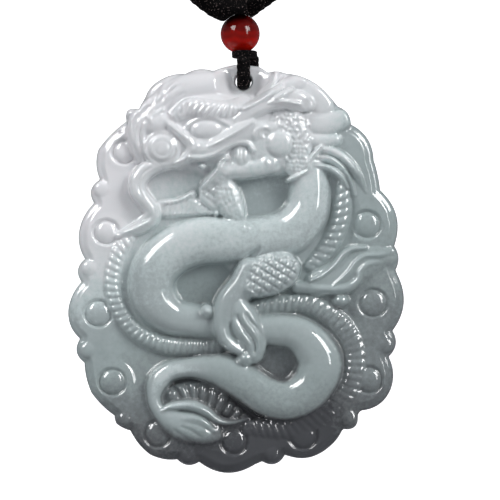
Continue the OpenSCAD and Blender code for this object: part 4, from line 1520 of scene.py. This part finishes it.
def jade_material():
    """Clouded pale jade: colour from slope + depth + clouds, with painted light and shade, a near mirror
    polish, and a soft glow.

    Slope runs from 0 at the top left to 1 at the lower right. Low is 0.5 on the border and 0 on the
    body, sunk is 1 in the hollows, and side is 1 right of the dragon and -1 left of it.
    """
    material, shader, wire = new_material("jade", (0.6, 0.66, 0.65))
    place = wire.place()
    x, y, z = place.parts()
    # Slope: the stone's own drift from lavender white to grey green, and with it painted light at the top
    # left and painted shade at the lower right.
    slope = (x * TILT - z - (TILT * grid_x(MID[0]) - grid_z(MID[1]))) / SLOPE_LENGTH + 0.5
    cut = (y + FACE) / RELIEF
    # Low: the border is darker than the body, and the slope's painted light and shade count more on it.
    low = (cut * 5 + 2.8).clamp() * 0.5
    # Sunk: painted shade in the hollows.
    sunk = (cut * 10 + 1.6).clamp()
    # Side: painted light and shade on the border near the left and right edges, set against the lamps:
    # darker at the upper right, lighter at the upper left.
    side = ((x - RIGHT_FROM) / SIDE_FADE).clamp() - ((x - LEFT_FROM) / -SIDE_FADE).clamp()
    # Pale: the colour is paler within a round patch over the tail.
    from_x, from_z = x - grid_x(PALE_AT[0]), z - grid_z(PALE_AT[1])
    pale = 1 - (from_x * from_x + from_z * from_z) / PALE_REACH**2
    shade = slope + sunk * 0.13 - pale.clamp() * (1 - low * 2) * 0.34
    shade += low * ((slope - 0.45) * 1.6 + 0.25 + side * (1.2 - slope * 1.85))
    clouds = place.noise(55.0, 3.0)
    wisps = place.noise(240.0, 4.0, Distortion=0.6)
    grain = place.noise(1600.0, 3.0, Roughness=0.6)
    drift = (clouds - 0.5) * 0.35 + (wisps - 0.5) * 0.18 + (grain - 0.5) * 0.3
    tone = ((shade + drift) / 1.4).clamp()
    colour = tone.add("ValToRGB", {"stops": [
        (0.0, (0.86, 0.86, 0.88)), (0.21, (0.76, 0.79, 0.8)), (0.31, (0.61, 0.69, 0.69)),
        (0.39, (0.46, 0.52, 0.525)), (0.57, (0.385, 0.45, 0.45)), (0.64, (0.33, 0.38, 0.38)),
        (0.73, (0.25, 0.28, 0.285)), (0.86, (0.155, 0.165, 0.17)), (0.95, (0.085, 0.088, 0.095)),
    ]}, {0: tone})
    bump = wire.add("Bump", {}, {"Height": place.noise(900.0), "Distance": 0.02 * MM, "Strength": 0.25})
    feed(
        shader, Base_Color=colour, Roughness=0.07, IOR=1.62, Normal=bump, Subsurface_Weight=0.25,
        Subsurface_Scale=0.8 * MM, Subsurface_Radius=(0.9, 1.0, 1.0), Coat_Weight=0.35, Coat_Roughness=0.04,
    )
    return material


jade = jade_material()
plaque = add_mesh("jade_plaque_carved", points, faces, jade)
drill(plaque, jade)
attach(plaque, "pendant")
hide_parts("jade_plaque")

# %% [markdown]
# ## Floor and backdrop
#
# A plain pale sweep: a floor that curves up into a wall behind, so that no line shows. It isn't seen in
# reflections, or else a white line would run round every polished rim.

# %% Stage
FLOOR_Z = -0.8
WALL_Y, WALL_H = 4, 5
BEND_R = 0.6
STAGE_HALF = 6


def sweep():
    """A floor that turns up into a wall: straight, a quarter circle, and straight, carried sideways.

    The wall glows a little from halfway back, as white paper does in a studio.
    """
    bend = np.linspace(0, np.pi / 2, 13)
    y = np.r_[-WALL_Y, WALL_Y - BEND_R + BEND_R * np.sin(bend), WALL_Y]
    z = np.r_[0, BEND_R * (1 - np.cos(bend)), WALL_H] + FLOOR_Z
    x = np.array([-STAGE_HALF, STAGE_HALF])
    points = np.stack([
        np.repeat(x[None], len(y), 0), np.repeat(y[:, None], 2, 1), np.repeat(z[:, None], 2, 1),
    ], 2).reshape(-1, 3)
    i = 2 * np.arange(len(y) - 1)
    material, shader, wire = new_material("pale_paper", (0.95, 0.95, 0.95))
    place = wire.place()
    glow = ((place.parts()[1] - 2) / 1.2).clamp()
    feed(
        shader, Base_Color=place.noise(30.0).mix((0.8, 0.8, 0.8), (0.84, 0.84, 0.84)), Roughness=0.9,
        Emission_Color=glow.mix((0, 0, 0), (1, 1, 1)), Emission_Strength=0.9,
    )
    return add_mesh("floor_sweep", points, [np.stack([i, i + 1, i + 3, i + 2], 1)], material)


stage = sweep()
stage.visible_glossy = False
